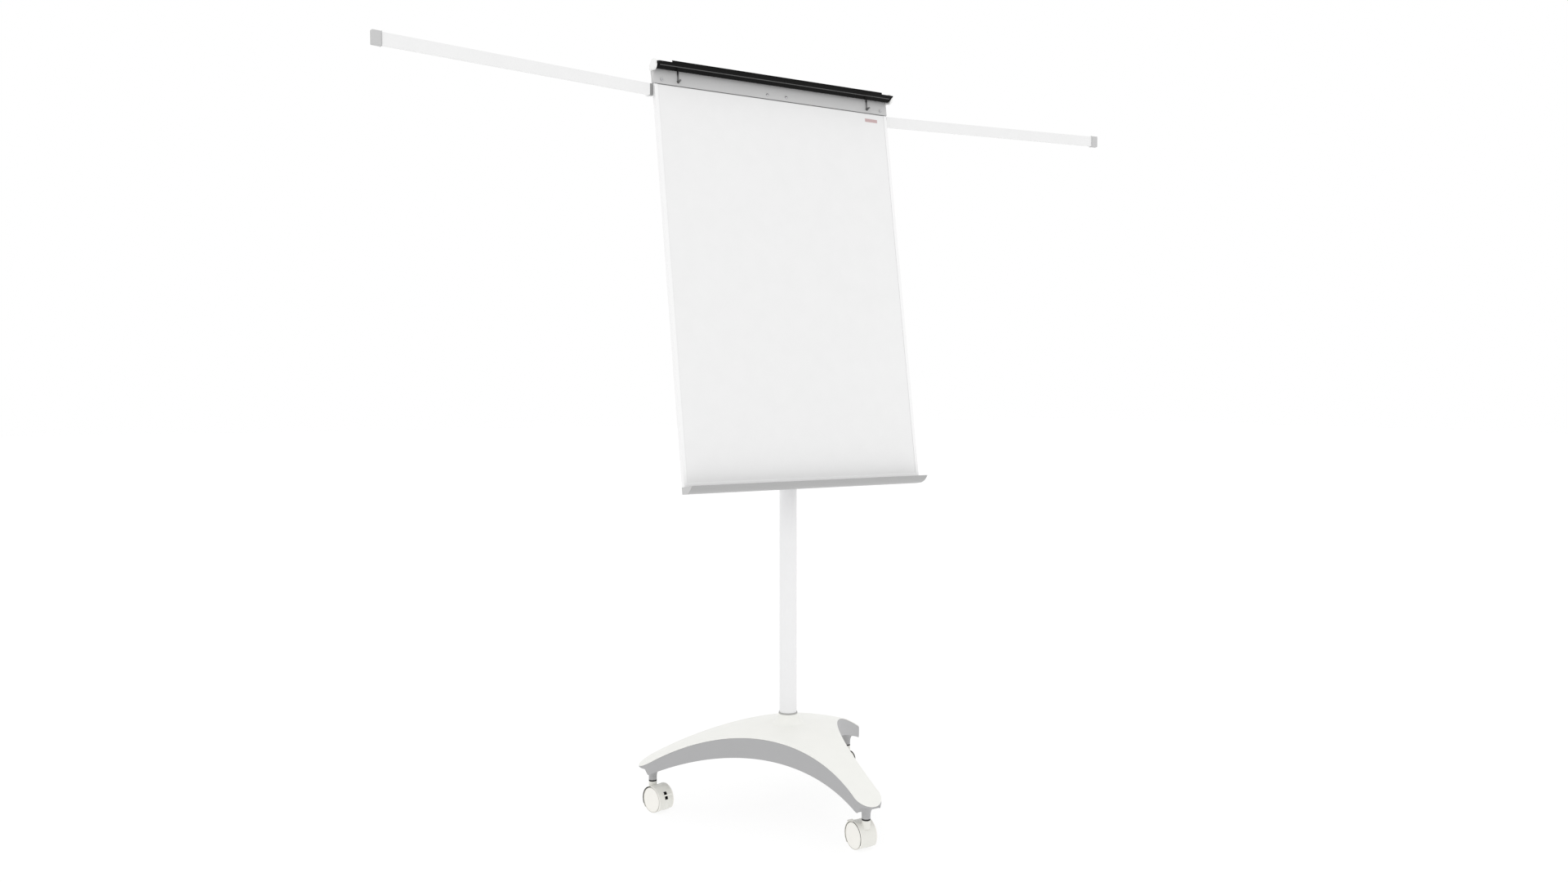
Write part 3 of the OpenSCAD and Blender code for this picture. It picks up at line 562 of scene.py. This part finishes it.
class Shape:
    """A mesh under construction, in the millimetres of a place."""

    def __init__(self, place: Place = ROW) -> None:
        """Starts an empty mesh.

        Args:
            place: The frame that it is made in.
        """
        self.place = place
        self.bm = bmesh.new()

    def copy_of(self, node: str) -> "Shape":
        """Takes a merged copy of a CAD node.

        Args:
            node: The node.

        Returns:
            The shape itself.
        """
        self.bm.from_mesh(frame["nodes"][node].data)
        self.bm.transform(self.place.back)
        bmesh.ops.remove_doubles(self.bm, verts=self.bm.verts, dist=MERGE)
        bmesh.ops.dissolve_limit(
            self.bm, angle_limit=math.radians(FLAT), verts=self.bm.verts, edges=self.bm.edges
        )
        return self

    def ease(self, width: float, segments: int = 2, sharp: float = 40.0) -> "Shape":
        """Rounds the sharp edges over.

        Args:
            width: How far the rounding reaches from an edge.
            segments: Its number of steps.
            sharp: The angle in degrees from which an edge counts as sharp.

        Returns:
            The shape itself.
        """
        limit = math.radians(sharp)
        edges = [e for e in self.bm.edges if e.is_manifold and e.calc_face_angle() > limit]
        made = bmesh.ops.bevel(
            self.bm,
            geom=edges,
            offset=width,
            offset_type="OFFSET",
            segments=segments,
            profile=0.5,
            affect="EDGES",
            clamp_overlap=False,
            material=-1,
        )
        layer = self.bm.faces.layers.float.get(EDGE) or self.bm.faces.layers.float.new(EDGE)
        for face in made["faces"]:
            if face.is_valid:
                face[layer] = 1.0
        return self

    def spin(
        self,
        outline: Sequence[tuple[float, float]],
        start: float = 0.0,
        angle: float = 360.0,
        steps: int = 96,
    ) -> "Shape":
        """Turns a closed outline round the Z axis.

        Args:
            outline: Its corners as (distance from the axis, height) pairs.
            start: The angle in degrees where it starts, from the X axis.
            angle: How far it turns.
            steps: The number of steps.

        Returns:
            The shape itself.
        """
        corners = [self.bm.verts.new((r, 0.0, z)) for r, z in outline]
        turn = Matrix.Rotation(math.radians(start), 4, "Z")
        bmesh.ops.transform(self.bm, matrix=turn, verts=corners)
        ring = [self.bm.edges.new((a, b)) for a, b in zip(corners, corners[1:] + corners[:1])]
        whole = angle >= 360.0
        bmesh.ops.spin(
            self.bm,
            geom=corners + ring,
            cent=(0.0, 0.0, 0.0),
            axis=(0.0, 0.0, 1.0),
            angle=math.radians(angle),
            steps=steps,
            use_merge=whole,
        )
        if not whole:
            bmesh.ops.holes_fill(self.bm, edges=[e for e in self.bm.edges if e.is_boundary])
        return self.settle()

    def block(self, low: Point, high: Point) -> "Shape":
        """Adds a box.

        Args:
            low: Its lowest corner.
            high: Its highest corner.

        Returns:
            The shape itself.
        """
        middle = (Vector(low) + Vector(high)) / 2
        size = Vector(high) - Vector(low)
        place = Matrix.Translation(middle) @ Matrix.Diagonal((*size, 1.0))
        bmesh.ops.create_cube(self.bm, size=1.0, matrix=place)
        return self

    def rod(self, radius: float, start: Point, end: Point, sides: int = 32) -> "Shape":
        """Adds a round rod between two points.

        Args:
            radius: Its radius.
            start: The middle of one end.
            end: The middle of the other end.
            sides: The number of its sides.

        Returns:
            The shape itself.
        """
        way = Vector(end) - Vector(start)
        turn = way.to_track_quat("Z", "Y").to_matrix().to_4x4()
        place = Matrix.Translation((Vector(start) + Vector(end)) / 2) @ turn
        bmesh.ops.create_cone(
            self.bm,
            cap_ends=True,
            segments=sides,
            radius1=radius,
            radius2=radius,
            depth=way.length,
            matrix=place,
        )
        return self

    def settle(self) -> "Shape":
        """Merges doubles and turns the faces outwards."""
        bmesh.ops.remove_doubles(self.bm, verts=self.bm.verts, dist=MERGE)
        bmesh.ops.recalc_face_normals(self.bm, faces=self.bm.faces)
        return self

    def present(
        self, name: str, body: str, look: Look, stands_for: Sequence[str] = ()
    ) -> bpy.types.Object:
        """Makes the mesh a piece of the easel.

        Args:
            name: The piece's name.
            body: The body that it rides on.
            look: Its finish.
            stands_for: The CAD nodes that it replaces.

        Returns:
            The piece.
        """
        self.bm.transform(self.place.out)
        for face in self.bm.faces:
            face.smooth = True
        for edge in self.bm.edges:
            edge.smooth = not edge.is_manifold or edge.calc_face_angle() < math.radians(CREASE)
        mesh = bpy.data.meshes.new(name)
        self.bm.to_mesh(mesh)
        self.bm.free()
        mesh.materials.append(look.value.material())
        piece = bpy.data.objects.new(name, mesh)
        bpy.context.scene.collection.objects.link(piece)
        even = piece.modifiers.new("even_normals", "WEIGHTED_NORMAL")
        even.keep_sharp = True
        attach(piece, body)
        if stands_for:
            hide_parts(*stands_for)
        log.info("%s: %d faces on %s", name, len(mesh.polygons), body)
        return piece


def body_of(node: str) -> str:
    """The body that a CAD node belongs to."""
    return frame["nodes"][node]["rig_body"]


def eased(node: str, look: Look, width: float, segments: int = 2, place: Place = ROW) -> bpy.types.Object:
    """A CAD node with its edges rounded over.

    Args:
        node: The node.
        look: The piece's finish.
        width: The rounding, in millimetres.
        segments: Its number of steps.
        place: The frame that it is made in.

    Returns:
        The piece.
    """
    return Shape(place).copy_of(node).ease(width, segments).present(
        f"{node}_eased", body_of(node), look, [node]
    )


def dress(node: str, look: Look) -> None:
    """Gives a CAD node its finish."""
    data = frame["nodes"][node].data
    data.materials.clear()
    data.materials.append(look.value.material())


# ---- sub-assemblies ----


@dataclass
class Base:
    """The three-legged base.

    Attributes:
        lip: The rounding of the cover's edges.
        foot: The rounding of the frame's edges.
        ring_edge: The rounding of the ring's edges.
        web: The outline of a web beside a castor's socket, as (out along the leg, across it) pairs.
        web_foot: The height of the web's underside at its inner end and at its outer end.
        web_top: The height of its top.
        web_lean: How far inward its outer end leans from the top to the underside.
    """

    lip: float = 1.0
    foot: float = 1.5
    ring_edge: float = 0.5
    web: tuple[tuple[float, float], ...] = (
        (-14.0, 10.0), (-14.0, 34.5), (0.0, 34.5), (9.0, 33.3), (16.5, 30.3), (16.5, 10.0)
    )
    web_foot: tuple[float, float] = (31.0, 22.6)
    web_top: float = 35.0
    web_lean: float = 7.0

    def build(self) -> None:
        """Builds the cover, the frame and their fixings."""
        eased("base_cover", Look.COVER, self.lip)
        eased("base_frame", Look.FRAME, self.foot)
        eased("post_ring", Look.RING, self.ring_edge)
        for node in ("base_screws", "post_bolt"):
            dress(node, Look.ZINC)
        for leg in ("front", "right", "left"):
            self.leg_webs(leg)

    def leg_webs(self, leg: str) -> None:
        """Builds the webs that join the walls of a leg's end to its castor socket.

        Args:
            leg: The leg's name.
        """
        webs = Shape(leg_place(leg))
        first, last = self.web[0][0], self.web[-1][0]
        high, low = self.web_foot
        for side in (-1, 1):
            top = [webs.bm.verts.new((x, side * y, self.web_top)) for x, y in self.web]
            roof = webs.bm.faces.new(top)
            made = bmesh.ops.extrude_face_region(webs.bm, geom=[roof])
            for vert in (v for v in made["geom"] if isinstance(v, bmesh.types.BMVert)):
                share = (vert.co.x - first) / (last - first)
                vert.co.x -= share * self.web_lean
                vert.co.z = high + (low - high) * share
        webs.settle().present(f"base_webs_{leg}", "base", Look.FRAME)


@dataclass
class Post:
    """The telescopic post with its collar and knob.

    Attributes:
        tube_edge: The rounding of the lower tube's edges.
        inner_edge: The rounding of the inner tube's edges.
        collar_edge: The rounding of the collar's edges.
        knob_edge: The rounding of the knob's edges.
        knob_steps: Its number of steps.
        head_edge: The rounding of the tilt head's edges.
    """

    tube_edge: float = 0.4
    inner_edge: float = 0.3
    collar_edge: float = 1.5
    knob_edge: float = 1.5
    knob_steps: int = 3
    head_edge: float = 0.8

    def build(self) -> None:
        """Builds the tubes, the collar, the knob and the tilt head."""
        eased("lower_tube", Look.POST, self.tube_edge)
        dress("guide_bush", Look.WHITE)
        dress("glide_plug", Look.BLACK)
        eased("inner_tube", Look.ZINC, self.inner_edge)
        eased("height_collar", Look.DARK, self.collar_edge)
        eased("height_knob", Look.BLACK, self.knob_edge, self.knob_steps)
        eased("post_head", Look.DARK, self.head_edge)


@dataclass
class Board:
    """The board with its frame, stiffeners and tilt bracket.

    Attributes:
        seam: The height of the painted shadow line under the top strip.
        seam_out: How far the painted shadow line stands out of the writing face.
        badge: The size of the blank badge.
        badge_in: The distances of the badge's middle from the board's right edge and from the strip.
        badge_out: How far the badge stands out.
        frame_edge: The rounding of the frame profiles' edges.
        channel_edge: The rounding of the stiffening channels' edges.
        bracket_edge: The rounding of the tilt bracket's and its pin's edges.
        screw_edge: The rounding of the bracket screws' edges.
        lever_edge: The rounding of the lever's edges.
        strip_edge: The rounding of the top strip's edges.
        fine_edge: The rounding of the hooks' and the strip screws' edges.
        tray_edge: The rounding of the tray's edges.
        seam_edge: The rounding of the seam's edges.
        badge_edge: The rounding of the badge's edges.
    """

    seam: float = 1.5
    seam_out: float = 1.6
    badge: tuple[float, float] = (40.0, 9.0)
    badge_in: tuple[float, float] = (52.0, 20.0)
    badge_out: float = 0.3
    frame_edge: float = 0.4
    channel_edge: float = 0.8
    bracket_edge: float = 0.6
    screw_edge: float = 0.5
    lever_edge: float = 1.2
    strip_edge: float = 0.4
    fine_edge: float = 0.3
    tray_edge: float = 0.5
    # seam_edge: The rounding of the painted shadow line's edges.
    seam_edge: float = 0.2
    badge_edge: float = 0.12
    place: Place = field(default_factory=board_place)

    def build(self) -> None:
        """Builds the panel and what is fixed to it."""
        dress("writing_sheet", Look.ENAMEL)
        dress("board_core", Look.CORE)
        dress("rear_sheet", Look.REAR)
        for node in ("frame_left", "frame_right", "frame_top", "frame_bottom"):
            eased(node, Look.EDGING, self.frame_edge)
        eased("stiffeners", Look.ZINC, self.channel_edge)
        eased("tilt_bracket", Look.DARK, self.bracket_edge)
        eased("tilt_pin", Look.ZINC, self.bracket_edge)
        eased("bracket_screws", Look.ZINC, self.screw_edge)
        eased("tilt_lever", Look.BLACK, self.lever_edge)
        eased("top_strip", Look.STRIP, self.strip_edge)
        eased("strip_screws", Look.CHROME, self.fine_edge)
        dress("strip_studs", Look.CHROME)
        for node in ("hook_left", "hook_right"):
            eased(node, Look.HOOK, self.fine_edge)
        eased("pen_tray", Look.TRAY, self.tray_edge)
        eased("tray_ends", Look.CAP, self.tray_edge)
        # a dark line under the strip, painted shadow for the gap below it
        self.strip_shadow_seam()
        self.blank_badge()

    def strip_shadow_seam(self) -> None:
        """Builds a dark grey line along the lower edge of the strip, a painted shadow for the gap under it.
        """
        low, high = self.place.extent("top_strip")
        Shape(self.place).block(
            (low.x + self.seam_out, -self.seam_out, low.z - self.seam), (high.x - self.seam_out, 0.0, low.z)
        ).ease(self.seam_edge, 1).present("strip_shadow_seam", "board", Look.SHADOW_SEAM)

    def blank_badge(self) -> None:
        """Builds a blank badge near the upper right corner."""
        right = self.place.extent("frame_right")[1].x - self.badge_in[0]
        up = self.place.extent("top_strip")[0].z - self.badge_in[1]
        half_w, half_h = self.badge[0] / 2, self.badge[1] / 2
        Shape(self.place).block(
            (right - half_w, -self.badge_out, up - half_h), (right + half_w, 0.0, up + half_h)
        ).ease(self.badge_edge, 1).present("blank_badge", "board", Look.BADGE)


@dataclass
class Clamp:
    """The pad clamp on its rod.

    Attributes:
        ridge_r: The radius of the ridge along its underside.
        ridge_at: How far forward of the axis the ridge runs, and how far below it.
        ridge_in: The distance from each end of the clamp to the ridge.
        ridge_sides: The number of the ridge's sides.
        ridge_edge: The rounding of the ridge's ends.
        bar_edge: The rounding of the bar's edges.
        end_edge: The rounding of the white ends' edges.
        end_steps: Its number of steps.
    """

    ridge_r: float = 1.3
    ridge_at: tuple[float, float] = (14.4, -4.4)
    ridge_in: float = 6.0
    ridge_sides: int = 20
    ridge_edge: float = 0.3
    bar_edge: float = 0.4
    end_edge: float = 2.0
    end_steps: int = 4
    place: Place = field(default_factory=board_place)

    def build(self) -> None:
        """Builds the bar, its ridge in a mid-grey that is a painted highlight along the bar's underside,
        its rod and its white ends.
        """
        dress("clamp_rod", Look.ZINC)
        eased("clamp_ends", Look.WHITE, self.end_edge, self.end_steps)
        eased("clamp_bar", Look.CLAMP, self.bar_edge)
        low, high = self.place.extent("clamp_bar")
        rod_low, rod_high = self.place.extent("clamp_rod")
        axis = (rod_low + rod_high) / 2
        forward, below = self.ridge_at
        y, z = axis.y - forward, axis.z + below
        # The ridge is mid-grey, a painted highlight along the black bar's underside.
        Shape(self.place).rod(
            self.ridge_r, (low.x + self.ridge_in, y, z), (high.x - self.ridge_in, y, z), self.ridge_sides
        ).ease(self.ridge_edge, 2).present("clamp_ridge", "clamp", Look.RIDGE_HIGHLIGHT)


@dataclass
class Arms:
    """The two swing arms.

    Attributes:
        arm_edge: The rounding of the arms' edges.
        cap_edge: The rounding of the end caps' edges.
        cap_steps: Its number of steps.
        knuckle_edge: The rounding of the knuckles' edges.
        bracket_edge: The rounding of the brackets' edges.
    """

    arm_edge: float = 0.6
    cap_edge: float = 2.0
    cap_steps: int = 4
    knuckle_edge: float = 0.5
    bracket_edge: float = 0.4

    def build(self) -> None:
        """Builds both arms, their caps, knuckles and brackets."""
        for side, root in (("left", Look.KNUCKLE), ("right", Look.ARM)):
            eased(f"arm_{side}", Look.ARM, self.arm_edge)
            eased(f"arm_cap_{side}", Look.CAP, self.cap_edge, self.cap_steps)
            eased(f"arm_knuckle_{side}", root, self.knuckle_edge)
        eased("arm_brackets", Look.ARM, self.bracket_edge)
        dress("arm_pins", Look.ZINC)


@dataclass
class Castor:
    """A twin-wheel castor.

    Attributes:
        leg: The leg that it is under.
        disc_gap: How much smaller a disc's radius is than its wheel's.
        disc_t: The thickness of a disc at its middle.
        disc_rise: How much a disc is domed.
        disc_edge: The height of the flat edge that a disc's dome starts from.
        disc_sunk: How far a disc stands clear of its seat.
        bore: The radius of a wheel's bore.
        shoulder: The rounding of a tyre's edges.
        groove: The width and depth of a groove in the tread.
        grooves: The number of grooves.
        rib: The width and height of a rib on the hood.
        ribs: The number of ribs on each side of the pedal.
        rib_from: The distance from the hood's middle to the first rib's field.
        rib_clear: The distance from the ribs' field to the band at the hood's edge.
        rib_sweep: The angles where the ribs start and end.
        rim: The width and height of the bands along the hood's edges.
        painted_shade: The thickness and width of the black band inside the hood's edges, painted shade in
            the gap between wheel and hood.
        painted_shade_in: The distance from the hood's edge to that painted shade.
        painted_shade_gap: The gap between the hood's wall and the painted shade.
        painted_shade_up: How far above the hood's lower rim the painted shade ends.
        hood_wall: The thickness of the hood's wall.
        shade: The width and height of the black band on the front of the hood's edges, painted shade along
            the wheel's gap.
        shade_sweep: The angles where that painted shade band starts and ends.
        slot: Half the height and half the width of the pedal's slot.
        slot_in: How far inside the pedal's pivot the slot's painted shade reaches.
        slot_wall: The thickness of that painted shade.
        slot_shade_rim: The width and height of the black frame around the slot, painted shade at its mouth.
        hood_edge: The rounding of the hood's edges.
        stem_edge: The rounding of the stem's edges.
        pedal_edge: The rounding of the pedal's edges.
        band_edge: The rounding of the bands' edges.
        shade_edge: The rounding of the painted shade band's edges.
    """

    leg: str
    disc_gap: float = 0.4
    disc_t: float = 3.6
    disc_rise: float = 1.3
    disc_edge: float = 0.8
    disc_sunk: float = 0.3
    bore: float = 3.1
    shoulder: float = 2.2
    groove: tuple[float, float] = (1.0, 0.5)
    grooves: int = 3
    rib: tuple[float, float] = (1.1, 0.35)
    ribs: int = 5
    rib_from: float = 6.0
    rib_clear: float = 1.0
    rib_sweep: tuple[float, float] = (-38.0, 92.0)
    rim: tuple[float, float] = (2.4, 0.5)
    painted_shade: tuple[float, float] = (0.45, 5.0)
    painted_shade_in: float = 0.8
    painted_shade_gap: float = 0.03
    painted_shade_up: float = 1.0
    hood_wall: float = 1.6
    shade: tuple[float, float] = (1.5, 0.25)
    shade_sweep: tuple[float, float] = (92.0, 205.0)
    slot: tuple[float, float] = (8.9, 3.27)
    slot_in: float = 4.8
    slot_wall: float = 0.22
    slot_shade_rim: tuple[float, float] = (1.2, 0.3)
    hood_edge: float = 0.5
    stem_edge: float = 0.3
    pedal_edge: float = 0.6
    band_edge: float = 0.2
    shade_edge: float = 0.08

    def __post_init__(self) -> None:
        """Takes its sizes from the frame."""
        self.name = f"castor_{self.leg}"
        self.place = axle_place(self.name)
        self.wheel_low, self.wheel_high = self.place.extent(f"{self.name}_wheel_b")
        self.hood_r = self.place.extent(f"{self.name}_hood")[1].x
        self.edge = self.place.extent(f"{self.name}_hood")[1].z
        pivot = self.place.back @ Vector(joint(f"{self.name}_brake")["pos_m"])
        self.pedal_angle = math.degrees(math.atan2(pivot.y, pivot.x))
        self.pedal_r = pivot.xy.length

    def build(self) -> None:
        """Builds the hood, the wheels, the stem and the pedal."""
        eased(f"{self.name}_hood", Look.HOOD, self.hood_edge)
        eased(f"{self.name}_stem", Look.BLACK, self.stem_edge)
        dress(f"{self.name}_axle", Look.ZINC)
        eased(f"{self.name}_pedal", Look.DISC, self.pedal_edge)
        for side, sign in (("a", -1), ("b", 1)):
            self.wheel(side, sign)
            # black bands at the hood's edge: painted shade in the wheel's gap
            self.hood_painted_shade(side, sign)
        self.hood_ribs()
        # black pieces in and round the pedal's slot: painted shade
        self.slot_painted_shade()

    def wheel(self, side: str, sign: int) -> None:
        """Builds a wheel's tyre and its domed disc.

        Args:
            side: The wheel's letter.
            sign: The side of the web that it is on.
        """
        radius, inner, outer = self.wheel_high.x, self.wheel_low.z, self.wheel_high.z
        node = f"{self.name}_wheel_{side}"
        bore, shoulder = self.bore, self.shoulder
        seat = outer - self.disc_t
        outline = [(bore, inner), *arc((radius - shoulder, inner + shoulder), shoulder, -90, 0, 5)]
        width, depth = self.groove
        step = (seat - inner - 2 * shoulder) / self.grooves
        for index in range(self.grooves):
            z = inner + shoulder + (index + 0.5) * step
            outline += [
                (radius, z - width / 2),
                (radius - depth, z - width / 4),
                (radius - depth, z + width / 4),
                (radius, z + width / 2),
            ]
        outline += [*arc((radius - shoulder, outer - shoulder), shoulder, 0, 55, 4)]
        outline += [(radius - shoulder, seat), (bore, seat)]
        tyre = Shape(self.place).spin([(r, sign * z) for r, z in outline])
        tyre.present(f"{node}_tyre", node, Look.TYRE, [node])
        rim = radius - self.disc_gap
        dome_r = (rim**2 + self.disc_rise**2) / (2 * self.disc_rise)
        half = math.degrees(math.asin((rim - self.disc_edge) / dome_r))
        dome = arc((0.0, outer - dome_r), dome_r, 90 - half, 90, 12)
        foot = seat + self.disc_sunk
        edge = [(0.0, foot), (rim, foot), (rim, outer - self.disc_rise - self.disc_edge)]
        disc = Shape(self.place).spin([(r, sign * z) for r, z in edge + dome])
        disc.present(f"{node}_disc", node, Look.DISC)

    def hood_painted_shade(self, side: str, sign: int) -> None:
        """Builds the painted shade in the gap between a wheel and the hood: a black band inside the hood's
        edge and another on the front of that edge.

        Args:
            side: The wheel's letter.
            sign: The side of the web that it is on.
        """
        thick, wide = self.painted_shade
        inside = self.hood_r - self.hood_wall - self.painted_shade_gap
        high = self.edge - self.painted_shade_in
        low = high - wide
        foot = self.place.extent(f"{self.name}_hood")[0].y + self.painted_shade_up
        start = math.degrees(math.asin(foot / inside))
        outline = [(inside - thick, low), (inside, low), (inside, high), (inside - thick, high)]
        # Black band inside the hood's edge: painted shade in the gap.
        Shape(self.place).spin(
            [(r, sign * z) for r, z in outline], start, 180 - 2 * start, 60
        ).present(f"{self.name}_lining_{side}", self.name, Look.BLACK)
        # Black band on the front of the hood's edge: painted shade along the gap.
        wide, high = self.shade
        near, far = self.edge - high, self.edge + high
        outline = [(inside, near), (inside + wide, near), (inside + wide, far), (inside, far)]
        first, last = self.shade_sweep
        Shape(self.place).spin([(r, sign * z) for r, z in outline], first, last - first, 40).ease(
            self.shade_edge, 1
        ).present(f"{self.name}_shade_{side}", self.name, Look.BLACK)

    def hood_ribs(self) -> None:
        """Builds the fine ribs on the back of the hood and the bands along its edges."""
        wide, high = self.rib
        start, end = self.rib_sweep
        first, last = self.rib_from, self.edge - self.rim[0] - self.rib_clear
        ribs = Shape(self.place)
        for index in range(self.ribs):
            z = first + (last - first) * (index + 0.5) / self.ribs
            for sign in (-1, 1):
                outline = [
                    (self.hood_r - SUNK, sign * (z - wide / 2)),
                    (self.hood_r + high, sign * (z - wide / 4)),
                    (self.hood_r + high, sign * (z + wide / 4)),
                    (self.hood_r - SUNK, sign * (z + wide / 2)),
                ]
                ribs.spin(outline, start, end - start, 36)
        ribs.present(f"{self.name}_ribs", self.name, Look.HOOD)
        wide, high = self.rim
        bands = Shape(self.place)
        for sign in (-1, 1):
            near, far = sign * (self.edge - wide), sign * self.edge
            outline = [
                (self.hood_r - SUNK, near),
                (self.hood_r + high, near),
                (self.hood_r + high, far),
                (self.hood_r - SUNK, far),
            ]
            bands.spin(outline, start, 180 - 2 * start, 60)
        bands.ease(self.band_edge, 2).present(f"{self.name}_bands", self.name, Look.DISC)

    def slot_painted_shade(self) -> None:
        """Builds the black inside and the black frame of the pedal's slot, painted shade in and around it.
        """
        half_h, half_w = self.slot
        # Black box inside the slot: painted shade.
        painted_shade = Shape(self.place)
        inside = self.pedal_r - self.slot_in
        painted_shade.block((inside, -half_h, -half_w), (self.hood_r - SUNK, half_h, half_w))
        mouth = max(painted_shade.bm.faces, key=lambda f: f.calc_center_median().x)
        bmesh.ops.delete(painted_shade.bm, geom=[mouth], context="FACES_ONLY")
        bmesh.ops.solidify(painted_shade.bm, geom=painted_shade.bm.faces, thickness=self.slot_wall)
        turn = Matrix.Rotation(math.radians(self.pedal_angle), 4, "Z")
        bmesh.ops.transform(painted_shade.bm, matrix=turn, verts=painted_shade.bm.verts)
        painted_shade.present(f"{self.name}_slot_painted_shade", self.name, Look.BLACK)
        # Black frame round the slot's mouth: painted shade.
        wide, high = self.slot_shade_rim
        sweep = math.degrees(math.asin((half_h + wide) / self.hood_r))
        inner_sweep = math.degrees(math.asin(half_h / self.hood_r))
        rim = Shape(self.place)
        low, top = self.hood_r - SUNK, self.hood_r + high
        for z0, z1, a0, a1 in (
            (half_w, half_w + wide, -sweep, sweep),
            (-half_w - wide, -half_w, -sweep, sweep),
            (-half_w - wide, half_w + wide, -sweep, -inner_sweep),
            (-half_w - wide, half_w + wide, inner_sweep, sweep),
        ):
            rim.spin([(low, z0), (top, z0), (top, z1), (low, z1)], self.pedal_angle + a0, a1 - a0, 12)
        rim.present(f"{self.name}_slot_shade_frame", self.name, Look.BLACK)


@dataclass
class Studio:
    """The floor, the lights and the camera.

    Attributes:
        stand: Where the camera stands.
        down: How far it looks down, in degrees.
        turned: How far it is turned to the right, in degrees.
        lens: Its focal length, in millimetres.
        sensor: The width of its sensor, in millimetres.
        reach: How far it sees, in metres.
        floor_half: Half the width of the floor, in metres.
        floor_paint: The floor's finish.
        sky_strength: The brightness of the surround.
    """

    stand: Point = (-1.6631, -2.6118, 1.0954)
    down: float = 2.44
    turned: float = 31.44
    lens: float = 28.17
    sensor: float = 36.0
    reach: float = 200.0
    floor_half: float = 30.0
    floor_paint: Finish = Finish(
        "floor_white", "", (0.2, 0.2, 0.2), 0.9, mottle=0.002, patch=900.0, specular=0.1, glow=0.82
    )
    sky_strength: float = 1.0

    def build(self) -> None:
        """Sets up the studio."""
        self.floor()
        self.sky()
        self.lamps()
        self.camera()

    def floor(self) -> None:
        """A plain pale floor."""
        bm = bmesh.new()
        bmesh.ops.create_grid(bm, x_segments=1, y_segments=1, size=self.floor_half)
        mesh = bpy.data.meshes.new("floor")
        bm.to_mesh(mesh)
        bm.free()
        mesh.materials.append(self.floor_paint.material())
        floor = bpy.data.objects.new("floor", mesh)
        bpy.context.scene.collection.objects.link(floor)

    def sky(self) -> None:
        """An even white surround."""
        world = bpy.data.worlds.new("surround")
        world.use_nodes = True
        ground = world.node_tree.nodes["Background"]
        ground.inputs["Color"].default_value = (1.0, 1.0, 1.0, 1.0)
        ground.inputs["Strength"].default_value = self.sky_strength
        bpy.context.scene.world = world
        bpy.context.scene.view_settings.view_transform = "Standard"

    def lamps(self) -> None:
        """Large soft lamps."""
        for name, place, aim, size, power in (
            ("key", (-3.5, -4.0, 4.5), (0, 0, 1.0), 3.0, 22.0),
            ("fill", (4.5, -3.0, 2.5), (0, 0, 1.0), 3.0, 6.0),
        ):
            light = bpy.data.lights.new(name, "AREA")
            light.shape = "DISK"
            light.size = size
            light.energy = power
            lamp = bpy.data.objects.new(name, light)
            lamp.location = place
            lamp.rotation_euler = (Vector(aim) - Vector(place)).to_track_quat("-Z", "Y").to_euler()
            bpy.context.scene.collection.objects.link(lamp)

    def camera(self) -> None:
        """The camera."""
        data = bpy.data.cameras.new("camera")
        data.lens = self.lens
        data.sensor_width = self.sensor
        data.clip_end = self.reach
        camera = bpy.data.objects.new("camera", data)
        camera.location = self.stand
        camera.rotation_euler = (math.radians(90 - self.down), 0.0, math.radians(-self.turned))
        bpy.context.scene.collection.objects.link(camera)
        bpy.context.scene.camera = camera


def main() -> None:
    """Builds the easel and its studio."""
    logging.basicConfig(level=logging.INFO, format="%(name)s: %(message)s")
    Studio().build()
    Base().build()
    Post().build()
    Board().build()
    Clamp().build()
    Arms().build()
    for leg in ("front", "right", "left"):
        Castor(leg).build()


if __name__ == "__main__":
    main()
